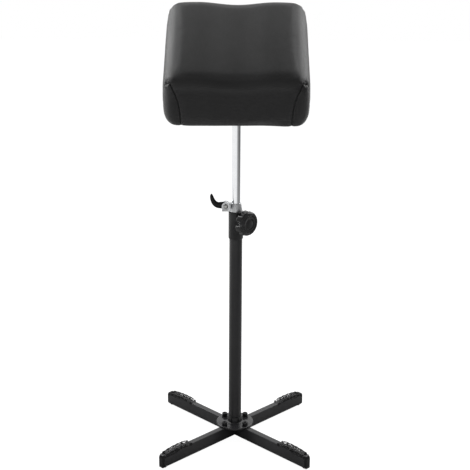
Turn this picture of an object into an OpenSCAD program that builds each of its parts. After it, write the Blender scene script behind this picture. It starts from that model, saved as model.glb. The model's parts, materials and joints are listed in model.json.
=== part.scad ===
// Arm rest stand for a tattoo studio.
// A padded saddle tilts on a chrome rod, which slides and turns in a pole on an X-shaped base.
// The origin is on the floor, under the middle of the whole stand. The user sits towards -Y.

/* [Height and tilt] */
// Length of rod that shows between the collar and the tilt head
rod_out = 222.5; // [60:0.5:370]
// Tilt of the pad towards the user, in degrees
pad_tilt = 32; // [0:1:45]

/* [Legs] */
// Distance from the pole axis to the tip of each leg
leg_reach = 239.5; // [180:0.5:320]
// Width of the leg tube
leg_w = 15; // [12:0.5:24]
// Height of the leg tube
leg_h = 30; // [24:0.5:45]
// Wall of the leg tube
leg_wall = 1.5; // [1:0.1:1.8]
// Outer corner radius of the leg tube
leg_corner_r = 2; // [1.9:0.1:3]

/* [Foot caps] */
// Length of each foot cap
cap_l = 92; // [70:1:130]
// Thickness of the cap across the end of the tube
cap_end_t = 5; // [4:0.5:8]
// Length of the cap's plug inside the tube
plug_l = 24; // [20:1:40]
// Thickness of the crest's base on top of the tube
crest_base_t = 1; // [0.8:0.1:2]
// Corner radius of the cap's end, seen from above
cap_corner_r = 3.5; // [2:0.1:5]
// Height of the scroll crest above its base
crest_h = 5.5; // [3:0.5:10]
// How far the scrolls stand out of the leg's sides
scroll_relief = 1.3; // [0.6:0.1:2]
// Width of the band that forms a scroll
scroll_band = 2.2; // [1.4:0.1:3]
// Outer diameter of the big volute at the crest's inner end
volute_d = 12.5; // [9:0.5:16]
// Diameter of the rubber foot pad under each cap
foot_pad_d = 10; // [8:0.5:14]
// Height of the foot pad
foot_pad_h = 3; // [2:0.5:6]

/* [Hub] */
// Diameter of the hub's flange
hub_d = 90; // [84:1:120]
// Thickness of the flange
hub_t = 4; // [3:0.5:8]
// Height of the pole socket above the flange
socket_h = 14; // [8:1:40]
// Wall of the pole socket
socket_wall = 1.5; // [1:0.1:4]
// Diameter of the circle of hub screws
screw_circle_d = 70; // [60:1:76]
// Thread diameter of the hub screws
hub_screw_d = 8; // [5:1:8]
// Length of the hub screws under the head
hub_screw_l = 16; // [12:1:24]

/* [Pole] */
// Outer diameter of the pole
pole_d = 30; // [26:0.5:40]
// Wall of the pole
pole_wall = 1.5; // [1:0.1:2.5]
// Length of the pole
pole_l = 526; // [480:1:640]

/* [Sleeve and lock] */
// Outer diameter of the plastic sleeve at the pole's top
sleeve_d = 34; // [34:0.5:48]
// Length of the sleeve
sleeve_l = 66; // [50:1:90]
// Thickness of the lip that closes the sleeve's top
sleeve_lip_t = 3.5; // [2:0.5:6]
// Diameter of the boss that holds the lock screw
boss_d = 22; // [19:0.5:26]
// Distance from the pole axis to the boss's face
boss_reach = 24.5; // [22:0.5:32]
// Length of the guide bush in the pole
bush_l = 40; // [32:1:60]
// Depth of the lock knob's axis below the sleeve's top
knob_drop = 22; // [16:1:30]
// Direction of the lock knob round the pole, in degrees from +X
knob_angle = -45; // [-90:5:0]
// Diameter of the lock knob
knob_d = 58; // [40:1:70]
// Thickness of the lock knob
knob_t = 19; // [14:0.5:26]
// Number of lobes on each knob
knob_lobes = 7; // [5:1:9]
// Thread diameter of the lock stud
stud_d = 10; // [8:1:12]

/* [Clamp collar] */
// Height of the collar
collar_h = 19.5; // [16:0.5:30]
// Diameter of the collar's foot
collar_foot_d = 30; // [28:0.5:34]
// Diameter of the collar's top
collar_top_d = 24; // [23:0.5:28]
// Width of the slit in the collar
collar_slit = 2; // [1:0.5:4]
// Distance from the rod axis to the clamp screw
ear_out = 23.4; // [22:0.2:30]
// Height of the clamp screw above the collar's foot
ear_rise = 15; // [10:0.5:18]
// Radius of the collar's ears
ear_r = 8.5; // [7:0.5:10]
// Thickness of each ear
ear_t = 4.5; // [3:0.5:7]
// Thread diameter of the clamp screw
clamp_screw_d = 6; // [4:1:8]

/* [Clamp lever] */
// Diameter of the lever's hub
lever_hub_d = 19; // [14:0.5:22]
// Thickness of the lever's hub
lever_hub_t = 9; // [8:0.5:14]
// Length of the grip, from its root to its bent end
grip_l = 28; // [22:1:60]
// How far the grip's tip rises above its root
grip_rise = 27; // [12:1:50]
// Depth of the grip at its root
grip_root_w = 14; // [10:0.5:18]
// Thickness of the grip at its root
grip_t = 10; // [8:0.5:14]

/* [Rod] */
// Outer diameter of the rod
rod_d = 20; // [16:0.5:22]
// Wall of the rod
rod_wall = 1.5; // [1:0.1:2.5]
// Length of the rod
rod_l = 520; // [420:1:560]
// Length of the glide plug below the rod
glide_l = 30; // [16:1:60]

/* [Tilt head] */
// Thickness of the rod head's tongue
tongue_t = 12; // [8:0.5:16]
// Radius of the tongue round the pivot
tongue_r = 11; // [8:0.5:14]
// Height of the pivot above the rod head's shoulder
neck_h = 24; // [20:0.5:40]
// Thickness of the rod head's shoulder
shoulder_t = 4; // [2:0.5:8]
// Diameter of the tilt bolt
tilt_bolt_d = 8; // [6:1:10]
// Thickness of the tilt bracket's sheet
bracket_t = 3; // [2:0.5:5]
// Width of the tilt bracket's plate
bracket_w = 84; // [80:1:110]
// Depth of the tilt bracket's plate
bracket_depth = 60; // [50:1:90]
// Height of the plate's top face above the pivot
pivot_rise = 30; // [28:0.5:44]
// Thickness of each friction washer
washer_t = 1.5; // [1:0.1:3]
// Diameter of the tilt knob
tilt_knob_d = 40; // [30:1:42]
// Thickness of the tilt knob
tilt_knob_t = 16; // [12:0.5:20]

/* [Pad] */
// Width of the pad
pad_w = 309; // [240:1:400]
// Depth of the pad, from the user's side to the back
pad_depth = 290; // [220:1:360]
// Height of the pad at its humps
pad_h = 132; // [80:1:150]
// Corner radius of the pad, seen from above
pad_corner_r = 32; // [22:1:50]
// Radius of the pad's top edges
pad_top_r = 30; // [16:1:40]
// Radius of the pad's bottom edges
pad_bottom_r = 22; // [12:1:30]
// Depth of the valley that an arm lies in
saddle_dip = 8; // [0:0.5:20]
// How far the top falls towards the front and the back
crown_fall = 5; // [0:0.5:12]
// How far the sides bulge at mid height
side_bulge = 3; // [0:0.5:8]
// Thickness of the leather cover
cover_t = 1.2; // [0.8:0.1:2]
// Width of a corner gusset at the pad's foot
gusset_w = 38; // [26:1:60]
// Thickness of the plywood board
board_t = 12; // [9:0.5:18]
// Width of leather that is folded under the board
fold_w = 20; // [16:1:40]
// Thickness of the dust cloth
cloth_t = 0.8; // [0.4:0.1:1.2]
// Number of staples along each side
staples_a_side = 7; // [3:1:12]

/* [Hidden] */
$fn = 64;

// Clearances and the overrun of cuts
cut = 1;
slip = 0.05;
press_gap = 0.1;
loose = 0.3;

// Heights from the floor
leg_z = foot_pad_h;
leg_top_z = leg_z + leg_h;
socket_floor_z = leg_top_z + hub_t;
pole_top_z = socket_floor_z + pole_l;
bush_flange_t = 2;
lip_z = pole_top_z + bush_flange_t;
sleeve_top_z = lip_z + sleeve_lip_t;
collar_top_z = sleeve_top_z + collar_h;
rod_top_z = collar_top_z + rod_out;
rod_bottom_z = rod_top_z - rod_l;
pivot_z = rod_top_z + shoulder_t + neck_h;
knob_z = sleeve_top_z - knob_drop;

// Legs, caps and hub
leg_angles = [225, 315, 135, 45];
notch_w = leg_w + 2 * press_gap;
cap_top = leg_h + crest_base_t;
cap_nose_r = 8;
crest_peak_share = 0.64;
crest_half = crest_peak_share * cap_l - cap_nose_r;
crest_arc_r = (pow(crest_half, 2) + pow(crest_h, 2)) / (2 * crest_h);
crest_lobes = 7;
crest_lobe_r = 7.5;
skirt_t = 0.8;
skirt_in = 1.5;
skirt_out = 5.5;
skirt_dip_share = 0.45;
foot_pad_inset = 11;
foot_peg_d = 5;
foot_peg_grip = 6;
insert_d = hub_screw_d + 3;
insert_rim_d = hub_screw_d + 5;
insert_rim_t = 0.7;
insert_l = hub_screw_l - hub_t + cut;
screw_head_share = 1.6;
hex_share = 0.75;
socket_d = pole_d + 2 * (slip + socket_wall);
hub_chamfer = 1;

// Pole top
pole_id = pole_d - 2 * pole_wall;
sleeve_chamfer = 2.5;
boss_insert_d = stud_d + 4;
stud_hole_d = stud_d + 2 * loose;
pressure_pad_l = 5;
knob_gap = 1.5;
knob_back = boss_reach + knob_gap;
knob_notch_d = 11;
knob_rim_t = 7;
knob_turn = 5;
knob_edge_r = 4;
stud_in_knob = 12;
stud_pin_d = 4;
stud_pin_l = 2;
knob_cap_d = 24;
knob_cap_t = 3;

// Clamp collar and lever
collar_spigot_d = rod_d + 4;
collar_bore_d = rod_d + 2 * slip;
clamp_z = sleeve_top_z + ear_rise;
ear_face = collar_slit / 2 + ear_t;
clamp_nut_t = 5;
clamp_washer_t = 1;
clamp_head_t = 3;
lever_face = ear_face + clamp_washer_t + slip;
grip_y = lever_face + lever_hub_t / 2;
grip_root_x = ear_out + lever_hub_d * 0.28;
grip_root_z = clamp_z + clamp_screw_d * 0.45;
grip_straight_share = 0.36;
grip_taper_share = 0.6;
tang_w = grip_root_w * 0.5;
tang_t = grip_t * 0.5;
tang_l = grip_l * grip_straight_share;

// Rod and tilt head
rod_id = rod_d - 2 * rod_wall;
glide_d = pole_id - 3 * slip;
spigot_d = rod_id - 2 * slip;
spigot_l = 25;
shoulder_d = rod_d + 2;
head_pin_d = 4;
head_pin_drop = spigot_l / 2;
ear_in = tongue_t / 2 + washer_t;
bracket_ear_r = 12;
bracket_ear_half = 20;
tilt_head_d = 2.2 * tilt_bolt_d;
tilt_head_t = 4;
neck_square = tilt_bolt_d + slip;
plain_washer_t = 1.6;
tilt_knob_x = ear_in + bracket_t + plain_washer_t;
tilt_insert_d = tilt_bolt_d + 6;
tilt_insert_l = 11;
bracket_screw_d = 6;
bracket_screw_l = 12;
bracket_corner_r = 8;
bracket_screw_x = bracket_w / 2 - bracket_corner_r;
bracket_screw_y = bracket_depth / 2 - bracket_corner_r;
pad_rise = pivot_rise - cover_t + cloth_t;

// Pad
pad_half_w = pad_w / 2 - side_bulge;
pad_half_d = pad_depth / 2 - side_bulge;
board_w = pad_w - 2 * (pad_bottom_r + side_bulge + cover_t);
board_depth = pad_depth - 2 * (pad_bottom_r + side_bulge + cover_t);
board_corner_r = 12;
opening_w = board_w - 2 * fold_w;
opening_depth = board_depth - 2 * fold_w;
cloth_lap = fold_w * 0.6;
tee_barrel_d = bracket_screw_d + 2;
tee_barrel_l = 9;
tee_rim_d = 3 * bracket_screw_d;
tee_rim_t = 1.5;
staple_w = 10;
staple_wire = 1;
staple_leg = 5;
hump_share = 0.58;
side_fall_share = 0.35;
corner_keep_share = 0.6;
gusset_top_share = 0.95;
corner_steps = 4;
long_steps = 7;
short_steps = 5;
bottom_steps = 3;
side_steps = 4;
top_steps = 4;
inner_shares = [0.78, 0.54, 0.28];
gusset_rows = 7;

// Places of the whole
cap_tip_y = (leg_reach - cap_corner_r) * sin(45) + (leg_w / 2 - cap_corner_r) * cos(45) + cap_corner_r;
pad_front_y = min([for (p = pad_points(0)) p.y * cos(pad_tilt) - (p.z + pad_rise) * sin(pad_tilt)]);
pole_y = -(cap_tip_y + min(pad_front_y, -cap_tip_y)) / 2;

// A rectangle with round corners, centred
module round_rect(x, y, r) {
    square([x - 2 * r, y], center = true);
    square([x, y - 2 * r], center = true);
    for (i = [-1, 1], j = [-1, 1]) translate([i * (x / 2 - r), j * (y / 2 - r)]) circle(r = r);
}

module ring2(d, band) {
    difference() {
        circle(d = d);
        circle(d = d - 2 * band);
    }
}

module at_pole() {
    translate([0, pole_y, 0]) children();
}

// Local +X runs out along a leg, z = 0 at the tube's underside
module at_leg(angle) {
    at_pole() translate([0, 0, leg_z]) rotate([0, 0, angle]) children();
}

// Local +Z runs out along the lock knob's axis, from the pole axis
module at_knob() {
    at_pole() translate([0, 0, knob_z]) rotate([0, 0, knob_angle]) rotate([0, 90, 0]) children();
}

// Local +Z runs towards the user along the clamp screw, from between the ears
module at_clamp() {
    at_pole() translate([-ear_out, 0, clamp_z]) rotate([90, 0, 0]) children();
}

// Local origin at the tilt pivot, turned with the pad
module at_tilt() {
    at_pole() translate([0, 0, pivot_z]) rotate([pad_tilt, 0, 0]) children();
}

// Local +Z runs along the tilt bolt, towards +X
module at_tilt_bolt() {
    at_tilt() rotate([0, 90, 0]) children();
}

// Local z = 0 at the pad's underside
module at_pad() {
    at_tilt() translate([0, 0, pad_rise]) children();
}

// Inside of the leg tube's section, made smaller all round by a gap
module tube_inside(gap) {
    edge = leg_wall + gap;
    round_rect(leg_w - 2 * edge, leg_h - 2 * edge, leg_corner_r - leg_wall);
}

// A leg runs right through the hub, and the two beams lap at half height
module leg_beam(angle, upper) {
    beam_l = 2 * (leg_reach - cap_end_t);
    at_leg(angle) difference() {
        rotate([90, 0, 90]) translate([0, leg_h / 2, 0]) linear_extrude(beam_l, center = true) {
            difference() {
                round_rect(leg_w, leg_h, leg_corner_r);
                tube_inside(0);
            }
        }
        translate([-notch_w / 2, -leg_w, upper ? -cut : leg_h / 2]) {
            cube([notch_w, 2 * leg_w, leg_h / 2 + cut]);
        }
        for (i = [-1, 1]) translate([i * screw_circle_d / 2, 0, leg_h / 2]) {
            cylinder(d = insert_d + 2 * slip, h = leg_h / 2 + cut);
        }
        for (i = [-1, 1]) translate([i * (leg_reach - foot_pad_inset), 0, -cut]) {
            cylinder(d = foot_peg_d + 2 * slip, h = leg_wall + 2 * cut);
        }
    }
}

module leg_beam_lower() {
    color("#26272a") leg_beam(45, false);
}

module leg_beam_upper() {
    color("#26272a") leg_beam(135, true);
}

// Side view of a cap: x runs out along the leg, y is up
module cap_side() {
    x0 = leg_reach - cap_l + crest_lobe_r;
    flat_l = leg_reach - cap_nose_r - x0;
    lobe_gap = (cap_l - cap_nose_r - 2 * crest_lobe_r - scroll_relief) / (crest_lobes - 1);
    translate([x0, 0]) square([flat_l, cap_top]);
    translate([x0, 0]) square([flat_l + cap_nose_r, cap_top - cap_nose_r]);
    translate([leg_reach - cap_nose_r, cap_top - cap_nose_r]) circle(r = cap_nose_r);
    intersection() {
        translate([crest_x(), cap_top + crest_h - crest_arc_r]) circle(r = crest_arc_r);
        translate([x0, leg_h / 2]) square([flat_l - scroll_relief, leg_h]);
    }
    for (i = [0 : crest_lobes - 1]) {
        x = x0 + scroll_relief / 2 + i * lobe_gap;
        translate([x, crest_top(x) - crest_lobe_r + scroll_relief / 2]) circle(r = crest_lobe_r);
    }
}

function crest_x() = leg_reach - crest_peak_share * cap_l;
function crest_top(x) = cap_top + crest_h - crest_arc_r
    + sqrt(pow(crest_arc_r, 2) - pow(x - crest_x(), 2));

// The crest's lower edge: along the tube's top edge at first, then down its sides
module skirt() {
    inner_x = leg_reach - cap_l + volute_d;
    dip_x = leg_reach - skirt_dip_share * cap_l;
    tip_x = leg_reach - cap_corner_r;
    polygon([[inner_x, cap_top - crest_base_t / 2], [inner_x, leg_h - skirt_in],
        [dip_x - skirt_out, leg_h - skirt_in], [dip_x, leg_h - skirt_out], [tip_x, leg_h - skirt_out],
        [tip_x, leg_h - crest_base_t], [leg_reach - cap_nose_r, cap_top - crest_base_t / 2]]);
}

// Scrollwork in side view: two volutes, C-scrolls between them, a nose ring and a row of beads
module scrolls() {
    volute_x = leg_reach - cap_l + volute_d / 2 + scroll_relief / 2;
    small_d = volute_d * 0.56;
    small_x = leg_reach - cap_l * 0.22;
    nose_d = volute_d * 0.65;
    bead_d = scroll_band * 1.2;
    translate([volute_x, leg_h]) {
        ring2(volute_d, scroll_band);
        circle(d = volute_d * 0.3);
    }
    translate([small_x, crest_top(small_x) - small_d * 0.57]) circle(d = small_d);
    translate([leg_reach - cap_nose_r, leg_h - nose_d * 0.4]) ring2(nose_d, scroll_band * 0.8);
    for (k = [0, 1]) {
        c_d = volute_d * (1.15 - 0.2 * k);
        c_x = volute_x + volute_d * (1.15 + 1.4 * k);
        translate([c_x, crest_top(c_x) - c_d * 0.52]) {
            intersection() {
                ring2(c_d, scroll_band);
                translate([-c_d, 0]) square([2 * c_d, c_d]);
            }
            for (i = [-1, 1]) translate([i * (c_d - scroll_band) / 2, 0]) circle(d = scroll_band * 1.5);
            circle(d = c_d * 0.3);
        }
    }
    for (i = [0 : 3]) {
        x = volute_x + volute_d * (0.7 + 1.1 * i);
        translate([x, leg_h + bead_d * 0.15]) circle(d = bead_d);
    }
}

// A cap's plug sits in the tube's end, its face is flush with the tube and its crest lies on top
module foot_cap(angle) {
    tip = leg_reach - cap_corner_r;
    tube_w = leg_w + 2 * press_gap;
    color("#17181a") at_leg(angle) difference() {
        union() {
            difference() {
                union() {
                    intersection() {
                        rotate([90, 0, 0]) linear_extrude(leg_w, center = true) cap_side();
                        translate([0, 0, -leg_h]) linear_extrude(3 * leg_h) {
                            translate([tip / 2, 0]) square([tip, leg_w], center = true);
                            square([2 * leg_reach, leg_w - 2 * cap_corner_r], center = true);
                            for (j = [-1, 1]) translate([tip, j * (leg_w / 2 - cap_corner_r)]) {
                                circle(r = cap_corner_r);
                            }
                        }
                    }
                    rotate([90, 0, 0]) linear_extrude(leg_w + 2 * skirt_t, center = true) skirt();
                    rotate([90, 0, 0]) linear_extrude(leg_w + 2 * scroll_relief, center = true) scrolls();
                }
                translate([leg_reach - cap_l - cut, -tube_w / 2, -cut]) {
                    cube([cap_l + cut - cap_end_t, tube_w, leg_h + press_gap + cut]);
                }
            }
            translate([leg_reach - cap_end_t - plug_l, 0, leg_h / 2]) rotate([90, 0, 90]) {
                linear_extrude(plug_l + cap_end_t / 2) tube_inside(press_gap);
            }
        }
        translate([leg_reach - foot_pad_inset, 0, -cut]) {
            cylinder(d = foot_peg_d + 2 * slip, h = cut + leg_wall + foot_peg_grip + slip);
        }
    }
}

module foot_pad(angle) {
    edge = foot_pad_h / 4;
    color("#101010") at_leg(angle) translate([leg_reach - foot_pad_inset, 0, -leg_z]) {
        cylinder(d1 = foot_pad_d - 2 * edge, d2 = foot_pad_d, h = edge);
        translate([0, 0, edge]) cylinder(d = foot_pad_d, h = foot_pad_h - edge);
        cylinder(d = foot_peg_d, h = leg_z + leg_wall + foot_peg_grip);
    }
}

module foot_cap_front_left() { foot_cap(leg_angles[0]); }
module foot_cap_front_right() { foot_cap(leg_angles[1]); }
module foot_cap_back_left() { foot_cap(leg_angles[2]); }
module foot_cap_back_right() { foot_cap(leg_angles[3]); }
module foot_pad_front_left() { foot_pad(leg_angles[0]); }
module foot_pad_front_right() { foot_pad(leg_angles[1]); }
module foot_pad_back_left() { foot_pad(leg_angles[2]); }
module foot_pad_back_right() { foot_pad(leg_angles[3]); }

// Calls its children at each hub screw, at the top face of the legs
module at_hub_screws() {
    for (a = leg_angles) at_leg(a) translate([screw_circle_d / 2, 0, leg_h]) children();
}

module hub_flange() {
    color("#2b2c2f") difference() {
        at_pole() translate([0, 0, leg_top_z]) {
            cylinder(d = hub_d, h = hub_t - hub_chamfer);
            translate([0, 0, hub_t - hub_chamfer]) {
                cylinder(d1 = hub_d, d2 = hub_d - 2 * hub_chamfer, h = hub_chamfer);
            }
            translate([0, 0, hub_t]) cylinder(d = socket_d, h = socket_h);
            translate([0, 0, hub_t]) {
                cylinder(d1 = socket_d + 2 * hub_chamfer, d2 = socket_d, h = hub_chamfer);
            }
        }
        at_pole() translate([0, 0, socket_floor_z]) cylinder(d = pole_d + 2 * slip, h = socket_h + cut);
        at_hub_screws() {
            translate([0, 0, -cut]) cylinder(d = hub_screw_d + 2 * loose, h = hub_t + 2 * cut);
            translate([0, 0, -cut]) cylinder(d = insert_rim_d + 2 * loose, h = cut + insert_rim_t + slip);
        }
    }
}

module hub_screws() {
    head_d = hub_screw_d * screw_head_share;
    key = hub_screw_d * hex_share / cos(30);
    color("#1c1c1e") at_hub_screws() translate([0, 0, hub_t]) difference() {
        union() {
            cylinder(d = head_d, h = hub_screw_d - hub_chamfer);
            translate([0, 0, hub_screw_d - hub_chamfer]) {
                cylinder(d1 = head_d, d2 = head_d - hub_chamfer, h = hub_chamfer);
            }
            translate([0, 0, -hub_screw_l]) cylinder(d = hub_screw_d, h = hub_screw_l);
        }
        translate([0, 0, hub_screw_d / 2]) cylinder(d = key, h = hub_screw_d, $fn = 6);
    }
}

module leg_thread_inserts() {
    color("#b9b6a6") at_hub_screws() difference() {
        union() {
            cylinder(d = insert_rim_d, h = insert_rim_t);
            translate([0, 0, -insert_l]) cylinder(d = insert_d, h = insert_l);
        }
        translate([0, 0, -insert_l - cut]) {
            cylinder(d = hub_screw_d + 2 * slip, h = insert_l + insert_rim_t + 2 * cut);
        }
    }
}

module pole() {
    color("#232427") difference() {
        at_pole() translate([0, 0, socket_floor_z]) cylinder(d = pole_d, h = pole_l);
        at_pole() translate([0, 0, socket_floor_z - cut]) cylinder(d = pole_id, h = pole_l + 2 * cut);
        at_knob() cylinder(d = stud_hole_d, h = pole_d);
    }
}

module pole_sleeve() {
    bottom_z = sleeve_top_z - sleeve_l;
    foot_d = sleeve_d - 2 * sleeve_chamfer * 0.6;
    color("#1a1b1d") difference() {
        union() {
            at_pole() translate([0, 0, bottom_z]) cylinder(d1 = foot_d, d2 = sleeve_d, h = sleeve_chamfer);
            at_pole() translate([0, 0, bottom_z + sleeve_chamfer]) {
                cylinder(d = sleeve_d, h = sleeve_l - sleeve_chamfer - hub_chamfer);
            }
            at_pole() translate([0, 0, sleeve_top_z - hub_chamfer]) {
                cylinder(d1 = sleeve_d, d2 = sleeve_d - 2 * hub_chamfer, h = hub_chamfer);
            }
            at_knob() cylinder(d = boss_d, h = boss_reach);
        }
        at_pole() translate([0, 0, bottom_z - cut]) {
            cylinder(d = pole_d + 2 * slip, h = lip_z - bottom_z + cut);
        }
        at_pole() cylinder(d = collar_spigot_d + 2 * press_gap, h = collar_top_z);
        at_knob() cylinder(d = boss_insert_d + 2 * slip, h = boss_reach + cut);
    }
}

module guide_bush() {
    color("#d8d6cc") difference() {
        at_pole() {
            translate([0, 0, pole_top_z]) cylinder(d = pole_d, h = bush_flange_t);
            translate([0, 0, pole_top_z - bush_l]) cylinder(d = pole_id - 2 * slip, h = bush_l);
        }
        at_pole() translate([0, 0, pole_top_z - bush_l - cut]) {
            cylinder(d = rod_d + 2 * slip, h = bush_l + bush_flange_t + 2 * cut);
        }
        at_knob() cylinder(d = stud_hole_d, h = pole_d);
    }
}

module knob_thread_insert() {
    start = pole_d / 2 + loose;
    color("#c8a24a") difference() {
        at_knob() translate([0, 0, start]) cylinder(d = boss_insert_d, h = boss_reach - start);
        at_knob() cylinder(d = stud_d + 2 * slip, h = boss_reach + cut);
        at_pole() translate([0, 0, knob_z - boss_d]) cylinder(d = pole_d + loose, h = 2 * boss_d);
    }
}

// A split collar with two ears, seated in the sleeve's lip
module clamp_collar() {
    spigot_h = sleeve_lip_t - slip;
    color("#c9cbce") difference() {
        union() {
            at_pole() translate([0, 0, sleeve_top_z - spigot_h]) cylinder(d = collar_spigot_d, h = spigot_h);
            at_pole() translate([0, 0, sleeve_top_z]) {
                cylinder(d = collar_foot_d, h = 2 * hub_chamfer);
                translate([0, 0, 2 * hub_chamfer]) {
                    cylinder(d1 = collar_foot_d, d2 = collar_top_d, h = collar_h - 2 * hub_chamfer);
                }
            }
            at_clamp() linear_extrude(2 * ear_face, center = true) {
                circle(r = ear_r);
                translate([-ear_r, -ear_rise]) square([2 * ear_r, ear_rise]);
                translate([0, -ear_rise]) square([ear_out, ear_rise + ear_r / 2]);
            }
        }
        at_pole() translate([0, 0, lip_z]) cylinder(d = collar_bore_d, h = collar_h + ear_r + sleeve_lip_t);
        at_pole() translate([-2 * ear_out, -collar_slit / 2, lip_z]) {
            cube([2 * ear_out, collar_slit, collar_h + ear_r + sleeve_lip_t]);
        }
        at_clamp() cylinder(d = clamp_screw_d + 2 * slip, h = 3 * ear_face, center = true);
    }
}

module clamp_washer() {
    color("#a9abad") at_clamp() translate([0, 0, ear_face]) difference() {
        cylinder(d = 2 * clamp_screw_d, h = clamp_washer_t);
        translate([0, 0, -cut]) cylinder(d = clamp_screw_d + 2 * slip, h = clamp_washer_t + 2 * cut);
    }
}

module clamp_nut() {
    across = clamp_screw_d * 1.67;
    color("#a9abad") at_clamp() translate([0, 0, -ear_face - clamp_nut_t]) difference() {
        cylinder(d = across / cos(30), h = clamp_nut_t, $fn = 6);
        translate([0, 0, -cut]) cylinder(d = clamp_screw_d + 2 * slip, h = clamp_nut_t + 2 * cut);
    }
}

module clamp_screw() {
    tail = ear_face + clamp_nut_t + clamp_washer_t;
    top = lever_face + lever_hub_t;
    color("#8f9194") at_clamp() {
        translate([0, 0, -tail]) cylinder(d = clamp_screw_d, h = tail + top);
        translate([0, 0, top]) cylinder(d1 = 2 * clamp_screw_d, d2 = clamp_screw_d, h = clamp_head_t);
    }
}

// The lever's metal hub, with a tang inside the grip
module clamp_lever() {
    color("#bfc1c4") at_clamp() difference() {
        union() {
            translate([0, 0, lever_face]) cylinder(d = lever_hub_d, h = lever_hub_t);
            tang_in = grip_root_x - ear_out;
            translate([-tang_in - tang_l, grip_root_z - clamp_z - tang_w / 2, grip_y - tang_t / 2]) {
                cube([tang_in + tang_l, tang_w, tang_t]);
            }
        }
        cylinder(d = clamp_screw_d + 2 * slip, h = 2 * grip_y);
    }
}

// Centre line of the horn grip: straight, then a quarter of an ellipse
function grip_mid(s) = let (bend = max(s - grip_straight_share, 0) / (1 - grip_straight_share) * 90)
    [-grip_root_x - grip_l * (min(s, grip_straight_share) + (1 - grip_straight_share) * sin(bend)),
    grip_root_z + grip_rise * (1 - cos(bend))];
function grip_heading(s) = let (a = grip_mid(s), b = grip_mid(s + 0.02)) atan2(b.y - a.y, b.x - a.x);
function grip_size(s) = (1 - grip_taper_share * pow(s, 1.6)) * (s > 0.93 ? sqrt((1.02 - s) / 0.09) : 1);

// A solid through rings of points, each ring in the same turn
module skin(rings) {
    n = len(rings[0]);
    m = len(rings);
    points = [for (r = rings) each r];
    sides = [for (k = [0 : m - 2], i = [0 : n - 1]) let (j = (i + 1) % n)
        each [[k * n + i, (k + 1) * n + i, (k + 1) * n + j], [k * n + i, (k + 1) * n + j, k * n + j]]];
    first = [for (i = [1 : n - 2]) [0, i, i + 1]];
    last = [for (i = [1 : n - 2]) [(m - 1) * n, (m - 1) * n + i + 1, (m - 1) * n + i]];
    polyhedron(points, concat(sides, first, last));
}

module lever_grip() {
    steps = 14;
    rings = [for (k = [0 : steps]) let (s = k / steps, c = grip_mid(s), h = grip_heading(s))
        [for (a = [0 : 30 : 330])
            let (u = grip_root_w / 2 * grip_size(s) * cos(a), v = grip_t / 2 * grip_size(s) * sin(a))
            [c.x - u * sin(h), -grip_y + v, c.y + u * cos(h)]]];
    w = tang_w + 2 * slip;
    t = tang_t + 2 * slip;
    color("#141414") difference() {
        at_pole() skin(rings);
        at_pole() translate([-grip_root_x - tang_l - slip, -grip_y - t / 2, grip_root_z - w / 2]) {
            cube([tang_l + slip + cut, t, w]);
        }
        at_clamp() cylinder(d = lever_hub_d + 2 * slip, h = 2 * grip_y);
    }
}

module lock_pressure_pad() {
    nose = rod_d / 2 + slip;
    face = rod_d / 2 + pressure_pad_l;
    color("#e8e6dc") at_knob() difference() {
        translate([0, 0, nose]) cylinder(d = stud_d - loose, h = face - nose);
        translate([0, 0, face - stud_pin_l]) cylinder(d = stud_pin_d + 2 * slip, h = stud_pin_l + cut);
    }
}

module lock_stud() {
    start = rod_d / 2 + pressure_pad_l + slip;
    color("#b4b6b8") at_knob() {
        translate([0, 0, start]) cylinder(d = stud_d, h = knob_back + stud_in_knob - start);
        translate([0, 0, start - stud_pin_l]) cylinder(d = stud_pin_d, h = stud_pin_l);
    }
}

// A lobed hand knob with rounded rims, a sunk ring on its face and a blind bore in its back.
// Its notches end at a round rim of the thickness rim_t at the front.
module star_knob(d, t, edge, notch, rim_t, bore_d, bore_l, cap_d, cap_t) {
    difference() {
        rotate_extrude() intersection() {
            translate([0, t / 2]) round_rect(d, t, edge);
            square([d, t]);
        }
        for (i = [1 : knob_lobes]) rotate(i * 360 / knob_lobes + knob_turn) {
            translate([d / 2 + notch * 0.2, 0, -cut]) cylinder(d = notch, h = t - rim_t + cut);
        }
        translate([0, 0, -cut]) cylinder(d = bore_d, h = bore_l + cut);
        translate([0, 0, t - cap_t]) cylinder(d = cap_d + 2 * slip, h = cap_t + cut);
        translate([0, 0, t]) rotate_extrude() translate([(cap_d + d) / 4, 0]) circle(d = edge);
        rotate_extrude() translate([(bore_d + d) * 0.23, 0]) square([d * 0.16, edge], center = true);
    }
}

module lock_knob() {
    color("#161718") at_knob() translate([0, 0, knob_back]) {
        star_knob(knob_d, knob_t, knob_edge_r, knob_notch_d, knob_rim_t, stud_d + 2 * slip,
            stud_in_knob + slip, knob_cap_d, knob_cap_t);
    }
}

module knob_button(d, t) {
    cylinder(d = d, h = t - hub_chamfer);
    translate([0, 0, t - hub_chamfer]) cylinder(d1 = d, d2 = d - 4 * hub_chamfer, h = hub_chamfer);
}

module lock_knob_cap() {
    color("#1f2022") at_knob() translate([0, 0, knob_back + knob_t - knob_cap_t]) {
        knob_button(knob_cap_d, knob_cap_t);
    }
}

module rod_glide_plug() {
    color("#d8d6cc") at_pole() {
        translate([0, 0, rod_bottom_z - glide_l]) {
            cylinder(d1 = glide_d - 2 * hub_chamfer, d2 = glide_d, h = hub_chamfer);
        }
        translate([0, 0, rod_bottom_z - glide_l + hub_chamfer]) {
            cylinder(d = glide_d, h = glide_l - hub_chamfer);
        }
        translate([0, 0, rod_bottom_z]) cylinder(d = spigot_d, h = spigot_l);
    }
}

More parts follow.
